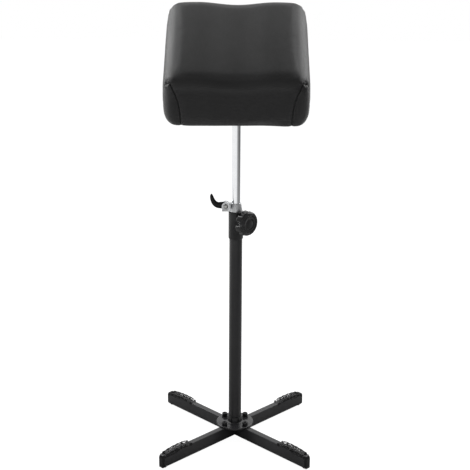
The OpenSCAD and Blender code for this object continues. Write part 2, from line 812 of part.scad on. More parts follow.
module rod() {
    color("#e2e4e6") at_pole() difference() {
        translate([0, 0, rod_bottom_z]) cylinder(d = rod_d, h = rod_l);
        translate([0, 0, rod_bottom_z - cut]) cylinder(d = rod_id, h = rod_l + 2 * cut);
        translate([0, 0, rod_top_z - head_pin_drop]) rotate([90, 0, 0]) {
            cylinder(d = head_pin_d + 2 * slip, h = 2 * rod_d, center = true);
        }
    }
}

module rod_head() {
    color("#2a2b2e") at_pole() difference() {
        union() {
            translate([0, 0, rod_top_z - spigot_l]) cylinder(d = spigot_d, h = spigot_l);
            translate([0, 0, rod_top_z]) cylinder(d = shoulder_d, h = shoulder_t);
            translate([0, 0, pivot_z]) rotate([90, 0, 90]) linear_extrude(tongue_t, center = true) {
                circle(r = tongue_r);
                translate([-tongue_r, -neck_h - slip]) square([2 * tongue_r, neck_h + slip]);
            }
        }
        translate([0, 0, pivot_z]) rotate([0, 90, 0]) {
            cylinder(d = tilt_bolt_d + 2 * slip, h = 2 * tongue_t, center = true);
        }
        translate([0, 0, rod_top_z - head_pin_drop]) rotate([90, 0, 0]) {
            cylinder(d = head_pin_d + 2 * slip, h = 2 * rod_d, center = true);
        }
    }
}

module rod_head_pin() {
    color("#8f9194") at_pole() translate([0, 0, rod_top_z - head_pin_drop]) rotate([90, 0, 0]) {
        cylinder(d = head_pin_d, h = rod_d - loose, center = true);
    }
}

// Places of the four screws that hold the bracket to the board
module at_bracket_screws() {
    for (i = [-1, 1], j = [-1, 1]) {
        at_pad() translate([i * bracket_screw_x, j * bracket_screw_y, cover_t - cloth_t]) children();
    }
}

module tilt_bracket() {
    plate_z = pivot_rise - bracket_t;
    color("#222326") difference() {
        at_tilt() {
            translate([0, 0, plate_z]) linear_extrude(bracket_t) {
                round_rect(bracket_w, bracket_depth, bracket_corner_r);
            }
            for (i = [-1, 1]) translate([i * (ear_in + bracket_t / 2), 0, 0]) rotate([90, 0, 90]) {
                linear_extrude(bracket_t, center = true) {
                    circle(r = bracket_ear_r);
                    polygon([[-bracket_ear_r, 0], [bracket_ear_r, 0], [bracket_ear_half, plate_z + slip],
                        [-bracket_ear_half, plate_z + slip]]);
                }
            }
        }
        at_tilt_bolt() cylinder(d = tilt_bolt_d + 2 * slip, h = tilt_knob_x);
        at_tilt_bolt() translate([0, 0, -ear_in - bracket_t / 2]) {
            cube([neck_square + slip, neck_square + slip, 2 * bracket_t], center = true);
        }
        at_bracket_screws() translate([0, 0, -bracket_t - cut]) {
            cylinder(d = bracket_screw_d + 2 * loose, h = bracket_t + 2 * cut);
        }
    }
}

// A carriage bolt: domed head, square neck in the left ear, thread in the knob
module tilt_bolt() {
    left = ear_in + bracket_t;
    color("#9a9c9f") at_tilt_bolt() {
        translate([0, 0, -left - tilt_head_t]) {
            cylinder(d1 = tilt_head_d / 2, d2 = tilt_head_d, h = tilt_head_t);
        }
        translate([0, 0, -ear_in - bracket_t / 2]) {
            cube([tilt_bolt_d * 0.99, tilt_bolt_d * 0.99, bracket_t], center = true);
        }
        translate([0, 0, -left]) cylinder(d = tilt_bolt_d, h = left + tilt_knob_x + tilt_insert_l - cut);
    }
}

module friction_washers() {
    color("#7a4a2a") for (i = [-1, 1]) at_tilt_bolt() {
        translate([0, 0, i * (ear_in + tongue_t / 2 + slip) / 2]) difference() {
            cylinder(r = tongue_r, h = washer_t - slip, center = true);
            cylinder(d = tilt_bolt_d + 2 * slip, h = 3 * washer_t, center = true);
        }
    }
}

module tilt_washer() {
    color("#a9abad") at_tilt_bolt() translate([0, 0, ear_in + bracket_t]) difference() {
        cylinder(d = 2 * tilt_bolt_d, h = plain_washer_t);
        translate([0, 0, -cut]) cylinder(d = tilt_bolt_d + 2 * slip, h = plain_washer_t + 2 * cut);
    }
}

module tilt_knob() {
    color("#161718") at_tilt_bolt() translate([0, 0, tilt_knob_x + slip]) {
        star_knob(tilt_knob_d, tilt_knob_t, knob_edge_r * 0.75, knob_notch_d * 0.7, knob_rim_t * 0.8,
            tilt_insert_d + 2 * slip, tilt_insert_l + slip, tilt_knob_d * 0.4, knob_cap_t);
    }
}

module tilt_knob_insert() {
    color("#c8a24a") at_tilt_bolt() translate([0, 0, tilt_knob_x + slip]) difference() {
        cylinder(d = tilt_insert_d, h = tilt_insert_l);
        translate([0, 0, -cut]) cylinder(d = tilt_bolt_d + 2 * slip, h = tilt_insert_l + 2 * cut);
    }
}

module bracket_screws() {
    head_d = 2 * bracket_screw_d;
    head_h = bracket_screw_d * 0.55;
    color("#9a9c9f") at_bracket_screws() translate([0, 0, -bracket_t]) {
        translate([0, 0, -head_h]) cylinder(d1 = head_d * 0.7, d2 = head_d, h = head_h);
        cylinder(d = bracket_screw_d, h = bracket_screw_l);
    }
}

module pad_tee_nuts() {
    color("#b9b6a6") at_bracket_screws() translate([0, 0, cloth_t + board_t - tee_barrel_l]) difference() {
        union() {
            cylinder(d = tee_barrel_d, h = tee_barrel_l);
            translate([0, 0, tee_barrel_l - tee_rim_t]) cylinder(d = tee_rim_d, h = tee_rim_t);
        }
        translate([0, 0, -cut]) cylinder(d = bracket_screw_d + 2 * slip, h = tee_barrel_l + 2 * cut);
    }
}

module pad_board() {
    color("#b98f5c") difference() {
        at_pad() translate([0, 0, cover_t]) linear_extrude(board_t) {
            round_rect(board_w, board_depth, board_corner_r);
        }
        at_bracket_screws() {
            cylinder(d = tee_barrel_d + 2 * slip, h = 2 * board_t);
            translate([0, 0, cloth_t + board_t - tee_rim_t - slip]) {
                cylinder(d = tee_rim_d + 2 * slip, h = board_t);
            }
        }
    }
}

// Outline of the pad seen from above, as a turn of points
function lerp(a, b, t) = a + (b - a) * t;
function corner_arc(cx, cy, r, from) = [for (j = [0 : corner_steps])
    let (a = from + 90 * j / corner_steps) [cx + r * cos(a), cy + r * sin(a)]];
function outline(hw, hd, r) = let (x = hw - r, y = hd - r,
    arcs = [corner_arc(x, y, r, 0), corner_arc(-x, y, r, 90), corner_arc(-x, -y, r, 180),
        corner_arc(x, -y, r, 270)])
    [for (k = [0 : 3]) let (n = k % 2 == 0 ? long_steps : short_steps, a = arcs[k][corner_steps],
        b = arcs[(k + 1) % 4][0])
        each concat(arcs[k], [for (s = [1 : n - 1]) lerp(a, b, s / n)])];

// The saddle of the top
function saddle(p) = let (u = abs(p.x) / pad_half_w, v = p.y / pad_half_d)
    -crown_fall * v * v - (u < hump_share ? saddle_dip * (0.5 + 0.5 * cos(180 * u / hump_share))
        : side_fall_share * saddle_dip * pow((u - hump_share) / (1 - hump_share), 2));
function pad_ring(e, q, z) = let (r = pad_corner_r - e - corner_keep_share * q)
    [for (p = outline(pad_half_w - e - q, pad_half_d - e - q, r))
        [p.x, p.y, z + saddle(p) * pow(z / pad_h, 2)]];

// Rings of the pad's skin, e inside its outer face, from the flat underside to the top
function pad_rings(e) = let (rb = pad_bottom_r - e, rt = pad_top_r - e)
    concat([for (t = [0 : bottom_steps]) let (a = 90 * t / bottom_steps)
            pad_ring(e, rb * (1 - sin(a)), e + rb * (1 - cos(a)))],
        [for (t = [1 : side_steps - 1]) let (s = t / side_steps)
            pad_ring(e, -side_bulge * sin(180 * s), lerp(pad_bottom_r, pad_h - pad_top_r, s))],
        [for (t = [0 : top_steps]) let (a = 90 * t / top_steps)
            pad_ring(e, rt * (1 - cos(a)), pad_h - e - rt * (1 - sin(a)))]);
function inner_ring(ring, e, share) = [for (p = ring) let (d = [p.x * share, p.y * share])
    [d.x, d.y, pad_h - e + saddle(d)]];
function pad_turns(e) = let (rings = pad_rings(e), last = rings[len(rings) - 1])
    concat(rings, [for (share = inner_shares) inner_ring(last, e, share)]);
function pad_points(e) = concat([[0, 0, e]], [for (r = pad_turns(e)) each r],
    [[0, 0, pad_h - e + saddle([0, 0])]]);

module pad_form(e) {
    turns = pad_turns(e);
    n = len(turns[0]);
    m = len(turns);
    top = m * n + 1;
    sides = [for (k = [0 : m - 2], i = [0 : n - 1])
        let (a = 1 + k * n + i, b = 1 + k * n + (i + 1) % n) each [[a, a + n, b + n], [a, b + n, b]]];
    under = [for (i = [0 : n - 1]) [0, 1 + i, 1 + (i + 1) % n]];
    over = [for (i = [0 : n - 1]) [top, 1 + (m - 1) * n + (i + 1) % n, 1 + (m - 1) * n + i]];
    polyhedron(pad_points(e), concat(sides, under, over));
}

// One corner of the form: its outline points nearest to that corner, and a line inside it
function turn_back(k) = k == 1 || k == 2 ? -1 : 1;
function turn_side(k) = k > 1 ? -1 : 1;
function corner_picks(k, n) = let (first = k * (corner_steps + 1) + ceil(k / 2) * (long_steps - 1)
    + floor(k / 2) * (short_steps - 1)) [for (i = [-1 : corner_steps + 1]) (first + i + n) % n];
module corner_form(e, k) {
    inside = [turn_back(k) * (pad_half_w - 2 * gusset_w), turn_side(k) * (pad_half_d - 2 * gusset_w)];
    skin([for (ring = pad_rings(e)) let (picks = corner_picks(k, len(ring)))
        concat([for (i = picks) ring[i]], [[inside.x, inside.y, ring[picks[0]].z]])]);
}

module pad_foam() {
    color("#d9cf9f") at_pad() difference() {
        pad_form(cover_t);
        linear_extrude(cover_t + board_t) round_rect(board_w, board_depth, board_corner_r);
    }
}

// Seam line of a gusset: how far it reaches from the side at a share of its height
function gusset_reach(s) = gusset_w * sqrt(1 - pow(s, 3));
module gusset_side(half) {
    top = pad_h * gusset_top_share;
    polygon(concat([[half + gusset_w, -cut], [half - gusset_w, -cut]],
        [for (k = [0 : gusset_rows]) let (s = k / gusset_rows) [half - gusset_reach(s), top * s]],
        [[half + gusset_w, top]]));
}

// The block of space round one corner of the pad that its gusset covers
module gusset_block(k) {
    intersection() {
        mirror([turn_back(k) < 0 ? 1 : 0, 0, 0]) rotate([90, 0, 0]) {
            linear_extrude(2 * pad_depth, center = true) gusset_side(pad_w / 2);
        }
        mirror([0, turn_side(k) < 0 ? 1 : 0, 0]) rotate([90, 0, 90]) {
            linear_extrude(2 * pad_w, center = true) gusset_side(pad_depth / 2);
        }
    }
}

module pad_cover() {
    color("#1d1e20") at_pad() difference() {
        pad_form(0);
        pad_form(cover_t);
        translate([0, 0, -cut]) linear_extrude(cover_t + 2 * cut) {
            round_rect(opening_w, opening_depth, board_corner_r);
        }
        for (k = [0 : 3]) gusset_block(k);
    }
}

module gusset(k) {
    color("#242528") at_pad() intersection() {
        difference() {
            corner_form(0, k);
            corner_form(cover_t, k);
        }
        gusset_block(k);
    }
}

module gusset_front_left() { gusset(2); }
module gusset_front_right() { gusset(3); }
module gusset_back_left() { gusset(1); }
module gusset_back_right() { gusset(0); }

// The cloth lies under the leather's edge and steps up to the board inside it
module dust_cloth() {
    inside_w = opening_w - 2 * loose;
    inside_depth = opening_depth - 2 * loose;
    r = board_corner_r;
    color("#3a3a3c") difference() {
        at_pad() {
            difference() {
                translate([0, 0, -cloth_t]) linear_extrude(cover_t + cloth_t) {
                    round_rect(inside_w, inside_depth, r);
                }
                translate([0, 0, -cloth_t - cut]) linear_extrude(cover_t + cut) {
                    round_rect(inside_w - 2 * cloth_t, inside_depth - 2 * cloth_t, r - cloth_t);
                }
            }
            translate([0, 0, -cloth_t]) linear_extrude(cloth_t) difference() {
                round_rect(opening_w + 2 * cloth_lap, opening_depth + 2 * cloth_lap, r);
                round_rect(inside_w - cloth_t, inside_depth - cloth_t, r - cloth_t);
            }
        }
        at_bracket_screws() translate([0, 0, -cut]) {
            cylinder(d = tee_barrel_d, h = cloth_t + 2 * cut);
        }
    }
}

module staple() {
    translate([0, 0, -staple_wire / 2]) cube([staple_w, staple_wire, staple_wire], center = true);
    for (i = [-1, 1]) translate([i * (staple_w - staple_wire) / 2, 0, (staple_leg - staple_wire) / 2]) {
        cube([staple_wire, staple_wire * 0.6, staple_leg + staple_wire], center = true);
    }
}

module cover_staples() {
    along = opening_w + cloth_lap;
    across = opening_depth + cloth_lap;
    color("#b4b6b8") at_pad() translate([0, 0, -cloth_t]) {
        for (i = [1 : staples_a_side], j = [-1, 1]) {
            share = i / (staples_a_side + 1) - 0.5;
            translate([along * share, j * across / 2, 0]) staple();
            translate([j * along / 2, across * share, 0]) rotate([0, 0, 90]) staple();
        }
    }
}

leg_beam_lower();
leg_beam_upper();
foot_cap_front_left();
foot_cap_front_right();
foot_cap_back_left();
foot_cap_back_right();
foot_pad_front_left();
foot_pad_front_right();
foot_pad_back_left();
foot_pad_back_right();
hub_flange();
hub_screws();
leg_thread_inserts();
pole();
pole_sleeve();
guide_bush();
knob_thread_insert();
clamp_collar();
clamp_nut();
clamp_washer();
clamp_lever();
clamp_screw();
lever_grip();
lock_pressure_pad();
lock_stud();
lock_knob();
lock_knob_cap();
rod_glide_plug();
rod();
rod_head();
rod_head_pin();
tilt_bracket();
tilt_bolt();
friction_washers();
tilt_washer();
tilt_knob();
tilt_knob_insert();
bracket_screws();
pad_tee_nuts();
pad_board();
pad_foam();
pad_cover();
gusset_front_left();
gusset_front_right();
gusset_back_left();
gusset_back_right();
dust_cloth();
cover_staples();
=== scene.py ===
import json
import math

import bmesh
import bpy
import numpy as np
from mathutils import Matrix, Vector, kdtree, noise

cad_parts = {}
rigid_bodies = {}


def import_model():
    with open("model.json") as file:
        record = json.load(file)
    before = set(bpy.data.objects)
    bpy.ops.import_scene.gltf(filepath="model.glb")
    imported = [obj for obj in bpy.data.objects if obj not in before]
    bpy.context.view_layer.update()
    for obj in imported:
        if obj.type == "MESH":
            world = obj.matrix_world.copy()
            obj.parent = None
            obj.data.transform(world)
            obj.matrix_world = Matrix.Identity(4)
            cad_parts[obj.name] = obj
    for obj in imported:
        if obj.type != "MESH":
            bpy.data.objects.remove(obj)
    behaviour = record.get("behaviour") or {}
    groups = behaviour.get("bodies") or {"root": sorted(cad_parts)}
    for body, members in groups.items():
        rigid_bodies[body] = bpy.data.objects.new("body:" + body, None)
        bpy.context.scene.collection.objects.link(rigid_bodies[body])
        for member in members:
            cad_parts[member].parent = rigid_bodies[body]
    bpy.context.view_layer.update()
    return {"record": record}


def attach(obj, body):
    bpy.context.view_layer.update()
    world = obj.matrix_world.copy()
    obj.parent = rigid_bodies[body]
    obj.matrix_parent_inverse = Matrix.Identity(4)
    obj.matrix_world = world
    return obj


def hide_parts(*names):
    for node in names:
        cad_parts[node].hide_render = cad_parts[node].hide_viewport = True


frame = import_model()
mm = 0.001
joints = {joint["name"]: joint for joint in frame["record"]["behaviour"]["joints"]}
poleY = joints["rod_swivel"]["pos_m"][1]
pivot = Vector(joints["pad_tilt"]["pos_m"])


# Working in object and edit mode

def clear():
    if bpy.context.mode != "OBJECT":
        bpy.ops.object.mode_set(mode="OBJECT")
    bpy.ops.object.select_all(action="DESELECT")


def activate(obj):
    clear()
    obj.select_set(True)
    bpy.context.view_layer.objects.active = obj
    return obj


def added(name):
    obj = bpy.context.object
    obj.name = name
    obj.data.name = name
    return obj


def edit(obj, kind="FACE"):
    activate(obj)
    bpy.ops.object.mode_set(mode="EDIT")
    bpy.ops.mesh.select_mode(type=kind)
    bpy.ops.mesh.select_all(action="DESELECT")


def pick(obj, kind, test):
    # selects the faces, edges or verts that pass the test; the object is in edit mode
    bpy.ops.mesh.select_all(action="DESELECT")
    mesh = bmesh.from_edit_mesh(obj.data)
    for part in {"FACE": mesh.faces, "EDGE": mesh.edges, "VERT": mesh.verts}[kind]:
        if test(part):
            part.select_set(True)
    mesh.select_flush_mode()
    bmesh.update_edit_mesh(obj.data)


def finishEdit():
    bpy.ops.object.mode_set(mode="OBJECT")


def modify(obj, kind, **settings):
    activate(obj)
    modifier = obj.modifiers.new(kind.lower(), kind)
    for key, value in settings.items():
        setattr(modifier, key, value)
    bpy.ops.object.modifier_apply(modifier=modifier.name)


def settle(obj, place=None):
    # moves the object's place into its mesh, so that it sits at the origin, unturned
    if place is not None:
        obj.matrix_world = place @ obj.matrix_world
    activate(obj)
    bpy.ops.object.transform_apply(location=True, rotation=True, scale=True)


def twin(obj, name):
    copy = obj.copy()
    copy.data = obj.data.copy()
    copy.name = name
    copy.data.name = name
    bpy.context.collection.objects.link(copy)
    return copy


def placed(name, data):
    obj = bpy.data.objects.new(name, data)
    bpy.context.collection.objects.link(obj)
    return obj


def camel(node):
    # the scene's name for a CAD node
    words = node.split("_")
    return words[0] + "".join(word.title() for word in words[1:])


def joined(parts, name):
    clear()
    for part in parts:
        part.select_set(True)
    bpy.context.view_layer.objects.active = parts[0]
    bpy.ops.object.join()
    return added(name)


def turned(degrees, axis):
    return Matrix.Rotation(math.radians(degrees), 4, axis)


def soften(obj, degrees):
    activate(obj)
    bpy.ops.object.shade_smooth_by_angle(angle=math.radians(degrees))


def smooth(obj):
    activate(obj)
    bpy.ops.object.shade_smooth()


def outward(obj):
    edit(obj)
    bpy.ops.mesh.select_all(action="SELECT")
    bpy.ops.mesh.normals_make_consistent(inside=False)
    finishEdit()


def dress(obj, material):
    obj.data.materials.clear()
    obj.data.materials.append(material)


# The photograph's camera, plain soft light and a pale floor

camera = {"lens": 85, "sensor": 36, "farClip": 30, "x": 0.004, "away": 2.436, "height": 1.289,
          "down": 17.72, "left": 0.14, "roll": 0.3}


def makeCamera():
    data = bpy.data.cameras.new("photoCamera")
    data.lens = camera["lens"]
    data.sensor_width = camera["sensor"]
    data.clip_end = camera["farClip"]
    obj = placed("photoCamera", data)
    spot = Matrix.Translation((camera["x"], poleY - camera["away"], camera["height"]))
    turn = turned(camera["left"], "Z") @ turned(90 - camera["down"], "X") @ turned(camera["roll"], "Z")
    obj.matrix_world = spot @ turn
    bpy.context.scene.camera = obj


lamps = {
    "overhead": {"at": (0.0, 1.15, 2.7), "size": (1.8, 1.5), "power": 3.5, "aim": 0.8},
    "leftBox": {"at": (-1.45, 0.9, 1.9), "size": (1.1, 1.9), "power": 28, "aim": 1.1},
    "rightBox": {"at": (1.45, 0.9, 1.9), "size": (1.1, 1.9), "power": 24, "aim": 1.1},
    "sweep": {"at": (0.0, 2.6, 1.6), "size": (3.2, 1.7), "power": 14, "aim": 0.9},
    "front": {"at": (-0.7, -2.7, 2.0), "size": (1.2, 1.0), "power": 2.5, "aim": 0.4},
}


def makeLamps():
    for name, lamp in lamps.items():
        data = bpy.data.lights.new(name, "AREA")
        data.shape = "RECTANGLE"
        data.size, data.size_y = lamp["size"]
        data.energy = lamp["power"]
        obj = placed(name, data)
        obj.visible_camera = False
        aim = Vector((0, 0, lamp["aim"])) - Vector(lamp["at"])
        turn = aim.to_track_quat("-Z", "Y").to_matrix().to_4x4()
        obj.matrix_world = Matrix.Translation(lamp["at"]) @ turn


# Shader maths: a Wire is one socket of a Paint's node tree

class Wire:
    def __init__(self, paint, socket):
        self.paint = paint
        self.socket = socket

    def maths(self, operation, *others):
        sockets = dict(enumerate((self, *others)))
        return self.paint.add("ShaderNodeMath", {"operation": operation}, sockets)

    def __add__(self, other):
        return self.maths("ADD", other)

    def __sub__(self, other):
        return self.maths("SUBTRACT", other)

    def __mul__(self, other):
        return self.maths("MULTIPLY", other)

    def __truediv__(self, other):
        return self.maths("DIVIDE", other)

    def __pow__(self, other):
        return self.maths("POWER", other)

    def __rsub__(self, other):
        return self.paint.add("ShaderNodeMath", {"operation": "SUBTRACT"}, {0: other, 1: self})

    def between(self, low, high):
        # 0 at low and 1 at high, with soft ends
        return self.paint.add("ShaderNodeMapRange", {"interpolation_type": "SMOOTHSTEP"},
                              {"Value": self, "From Min": low, "From Max": high})

    def wave(self, length):
        # a sine over this value that repeats at the given length
        return (self * (2 * math.pi / length)).maths("SINE")


class Paint:
    def __init__(self, name):
        self.material = bpy.data.materials.new(name)
        self.material.use_nodes = True
        self.tree = self.material.node_tree
        self.shader = self.tree.nodes["Principled BSDF"]
        self.place = self.add("ShaderNodeTexCoord", {}, {}, "Object")

    def add(self, kind, settings, sockets, output=0):
        node = self.tree.nodes.new(kind)
        for key, value in settings.items():
            setattr(node, key, value)
        for key, value in sockets.items():
            self.feed(node.inputs[key], value)
        return Wire(self, node.outputs[output])

    def feed(self, socket, value):
        if isinstance(value, Wire):
            self.tree.links.new(value.socket, socket)
        elif socket.type == "RGBA":
            socket.default_value = (*value, 1)
        else:
            socket.default_value = value

    def noise(self, scale, detail=2, rough=0.5, at=None):
        return self.add("ShaderNodeTexNoise", {}, {"Vector": at or self.place, "Scale": scale,
                                                   "Detail": detail, "Roughness": rough})

    def cells(self, scale):
        # distance to the edge of the nearest cell
        return self.add("ShaderNodeTexVoronoi", {"feature": "DISTANCE_TO_EDGE"},
                        {"Vector": self.place, "Scale": scale, "Randomness": 1})

    def stretched(self, scale, turn=(0, 0, 0)):
        sockets = {"Vector": self.place, "Rotation": turn, "Scale": scale}
        return self.add("ShaderNodeMapping", {}, sockets)

    def axis(self, name):
        return self.add("ShaderNodeSeparateXYZ", {}, {"Vector": self.place}, name)

    def blend(self, share, low, high):
        # a mix node's inputs 0, 6 and 7 are its share and two colours, and output 2 is its colour
        return self.add("ShaderNodeMix", {"data_type": "RGBA"}, {0: share, 6: low, 7: high}, 2)

    def done(self, colour, roughness, metallic=0, height=None, depth=mm, **fixed):
        self.feed(self.shader.inputs["Base Color"], colour)
        self.feed(self.shader.inputs["Roughness"], roughness)
        self.feed(self.shader.inputs["Metallic"], metallic)
        if height is not None:
            bump = self.add("ShaderNodeBump", {}, {"Height": height, "Distance": depth, "Strength": 1})
            self.feed(self.shader.inputs["Normal"], bump)
        for key, value in fixed.items():
            self.feed(self.shader.inputs[key.replace("_", " ")], value)
        return self.material


# Finishes

def powderCoat(name, tone, gloss):
    paint = Paint(name)
    peel = paint.noise(900, 2)
    cloud = paint.noise(14, 3)
    dust = paint.noise(2600, 1).between(0.66, 0.74)
    colour = paint.blend(cloud.between(0.3, 0.7), [v * 0.85 for v in tone], [v * 1.2 for v in tone])
    colour = paint.blend(dust * 0.25, colour, (0.09, 0.09, 0.09))
    return paint.done(colour, cloud * 0.12 + gloss - 0.06, height=peel, depth=0.09 * mm,
                      Coat_Weight=0.15, Coat_Roughness=0.2)


def mouldedBlack(name, tone, gloss, grain=0.03 * mm, shine=1.5):
    paint = Paint(name)
    skin = paint.noise(1500, 2)
    flow = paint.noise(45, 3, 0.6)
    scuffs = paint.noise(1, 2, at=paint.stretched((90, 420, 90), (0.3, 0.4, 0.6))).between(0.62, 0.72)
    colour = paint.blend(flow.between(0.35, 0.7), tone, [v * 1.5 + 0.002 for v in tone])
    rough = flow * 0.1 + scuffs * 0.12 + gloss - 0.05
    return paint.done(colour, rough, height=skin + flow * 3, depth=grain, IOR=shine)


def chromePlate():
    paint = Paint("rodChrome")
    drawn = paint.noise(1, 2, at=paint.stretched((2600, 2600, 12)))
    rings = paint.noise(1, 2, at=paint.stretched((3, 3, 900)))
    cloud = paint.noise(30, 3)
    colour = paint.blend(cloud.between(0.3, 0.7), (0.80, 0.81, 0.83), (0.88, 0.89, 0.90))
    return paint.done(colour, drawn * 0.05 + cloud * 0.05 + 0.05, 1, drawn + rings, 0.004 * mm)


def castAluminium():
    paint = Paint("clampSilver")
    pits = paint.noise(700, 4, 0.6)
    waves = paint.noise(110, 3)
    dark = pits.between(0.58, 0.72)
    colour = paint.blend(dark * 0.5, (0.78, 0.79, 0.80), (0.45, 0.46, 0.48))
    return paint.done(colour, pits * 0.2 + waves * 0.15 + 0.14, 1, waves * 3 + pits, 0.22 * mm)


def brushedMetal(name, tone, gloss):
    paint = Paint(name)
    lines = paint.noise(1, 3, 0.6, at=paint.stretched((60, 2400, 2400)))
    cloud = paint.noise(80, 3)
    colour = paint.blend(cloud.between(0.3, 0.7), [v * 0.85 for v in tone], tone)
    return paint.done(colour, lines * 0.15 + cloud * 0.1 + gloss, 1, lines, 0.02 * mm)


def blackOxide():
    paint = Paint("screwBlack")
    grain = paint.noise(1800, 3)
    worn = paint.noise(420, 4).between(0.6, 0.72)
    colour = paint.blend(worn * 0.4, (0.02, 0.02, 0.022), (0.16, 0.16, 0.17))
    return paint.done(colour, grain * 0.2 + 0.24, 0.6, grain, 0.03 * mm)


def rubber():
    paint = Paint("footRubber")
    grain = paint.noise(1900, 3)
    dust = paint.noise(60, 4).between(0.5, 0.8)
    colour = paint.blend(dust, (0.017, 0.017, 0.017), (0.05, 0.05, 0.048))
    return paint.done(colour, dust * 0.15 + 0.62, height=grain, depth=0.08 * mm)


def acetal():
    paint = Paint("bushWhite")
    turned = paint.noise(1, 2, at=paint.stretched((12, 12, 2200)))
    cloud = paint.noise(60, 3)
    colour = paint.blend(cloud, (0.720, 0.711, 0.666), (0.80, 0.79, 0.74))
    return paint.done(colour, cloud * 0.15 + 0.35, height=turned, depth=0.02 * mm,
                      Subsurface_Weight=0.05)


def leather():
    stitchLength = 4.2 * mm
    paint = Paint("padLeather")
    pores = paint.cells(620)
    fine = paint.cells(1500)
    cloud = paint.noise(11, 4, 0.6)
    creases = paint.noise(1, 3, 0.55, at=paint.stretched((70, 70, 160)))
    mottle = paint.noise(48, 3, 0.55)
    seam = paint.add("ShaderNodeAttribute", {"attribute_name": "seamAway"}, {}, "Fac")
    along = paint.add("ShaderNodeAttribute", {"attribute_name": "seamAlong"}, {}, "Fac")
    stitch = along.wave(stitchLength)
    nearSeam = 1 - seam.between(0.6 * mm, 4.5 * mm)
    valley = 1 - seam.between(0.0, 1.6 * mm)
    colour = paint.blend(cloud.between(0.3, 0.72), (0.016, 0.016, 0.017), (0.027, 0.027, 0.028))
    colour = paint.blend(pores.between(0.0, 0.2), (0.011, 0.011, 0.011), colour)
    # painted shade: the seam's groove is painted near-black along its middle, besides being sunk in the
    # height below
    colour = paint.blend(valley * 0.85, colour, (0.003, 0.003, 0.003))
    grain = pores.between(0.0, 0.35) + fine.between(0.0, 0.4) * 0.35 + creases * 0.8
    height = grain * 0.16 + mottle * 0.3 + nearSeam * stitch * 0.35 - valley * 1.6
    rough = cloud * 0.12 + 0.40 + nearSeam * 0.1 - pores.between(0.0, 0.3) * 0.05
    return paint.done(colour, rough, height=height, depth=0.7 * mm, Specular_IOR_Level=0.55,
                      Sheen_Weight=0.06, Sheen_Roughness=0.4)


def foam():
    paint = Paint("foamCream")
    pores = paint.cells(900)
    big = paint.cells(260)
    colour = paint.blend(pores.between(0.0, 0.4), (0.52, 0.44, 0.24), (0.80, 0.73, 0.48))
    return paint.done(colour, 0.92, height=pores.between(0.0, 0.4) + big * 0.5, depth=0.6 * mm)


def wovenCloth():
    threadPitch = 1.1 * mm
    paint = Paint("clothGrey")
    warp = paint.axis("X").wave(threadPitch)
    weft = paint.axis("Y").wave(threadPitch)
    weave = warp * weft
    fuzz = paint.noise(900, 3)
    colour = paint.blend(weave.between(-0.6, 0.8), (0.022, 0.022, 0.024), (0.060, 0.060, 0.064))
    return paint.done(colour, fuzz * 0.1 + 0.82, height=weave + fuzz, depth=0.25 * mm, Sheen_Weight=0.3)


def plywood():
    paint = Paint("boardPly")
    grain = paint.noise(1, 5, 0.65, at=paint.stretched((9, 140, 140)))
    pores = paint.noise(1, 2, at=paint.stretched((120, 1500, 1500))).between(0.55, 0.7)
    colour = paint.blend(grain.between(0.3, 0.7), (0.62, 0.46, 0.28), (0.44, 0.29, 0.15))
    colour = paint.blend(pores * 0.5, colour, (0.26, 0.16, 0.08))
    return paint.done(colour, grain * 0.2 + 0.6, height=grain - pores, depth=0.15 * mm)


def fibre():
    paint = Paint("frictionBrown")
    flecks = paint.noise(1500, 4, 0.7)
    colour = paint.blend(flecks.between(0.4, 0.65), (0.16, 0.08, 0.04), (0.34, 0.22, 0.12))
    return paint.done(colour, 0.7, height=flecks, depth=0.08 * mm)


def makeFinishes():
    return {
        "powder_black": powderCoat("powderBlack", (0.030, 0.030, 0.032), 0.40),
        "hub_black": powderCoat("hubBlack", (0.022, 0.022, 0.024), 0.22),
        "black_steel": blackOxide(),
        "cap_black": mouldedBlack("capBlack", (0.009, 0.009, 0.010), 0.20, shine=1.4),
        "knob_black": mouldedBlack("knobBlack", (0.014, 0.014, 0.015), 0.20, shine=1.6),
        "grip_black": mouldedBlack("gripBlack", (0.006, 0.006, 0.007), 0.34, shine=1.36),
        "button_black": mouldedBlack("buttonBlack", (0.018, 0.018, 0.019), 0.36),
        "sleeve_black": mouldedBlack("sleeveBlack", (0.018, 0.018, 0.019), 0.40, 0.06 * mm),
        "bush_white": acetal(),
        "rubber_black": rubber(),
        "rod_chrome": chromePlate(),
        "clamp_silver": castAluminium(),
        "zinc_steel": brushedMetal("zincSteel", (0.66, 0.66, 0.64), 0.22),
        "brass": brushedMetal("turnedBrass", (0.75, 0.56, 0.26), 0.2),
        "friction_brown": fibre(),
        "leather_black": leather(),
        "foam_cream": foam(),
        "cloth_grey": wovenCloth(),
        "board_ply": plywood(),
    }


stage = {
    "size": 14, "seenTone": 0.86, "hiddenTone": 0.45, "rough": 0.8, "glow": 1.34, "glowShare": 0.72,
    "whiteFrom": 1.1, "whiteAll": 2.1, "frontNear": 0.6, "roomLight": 0.24,
    "stripLow": (-4.5, 0.5), "stripHigh": (0.7, 1.1), "stripX": (0.25, 0.6),
}


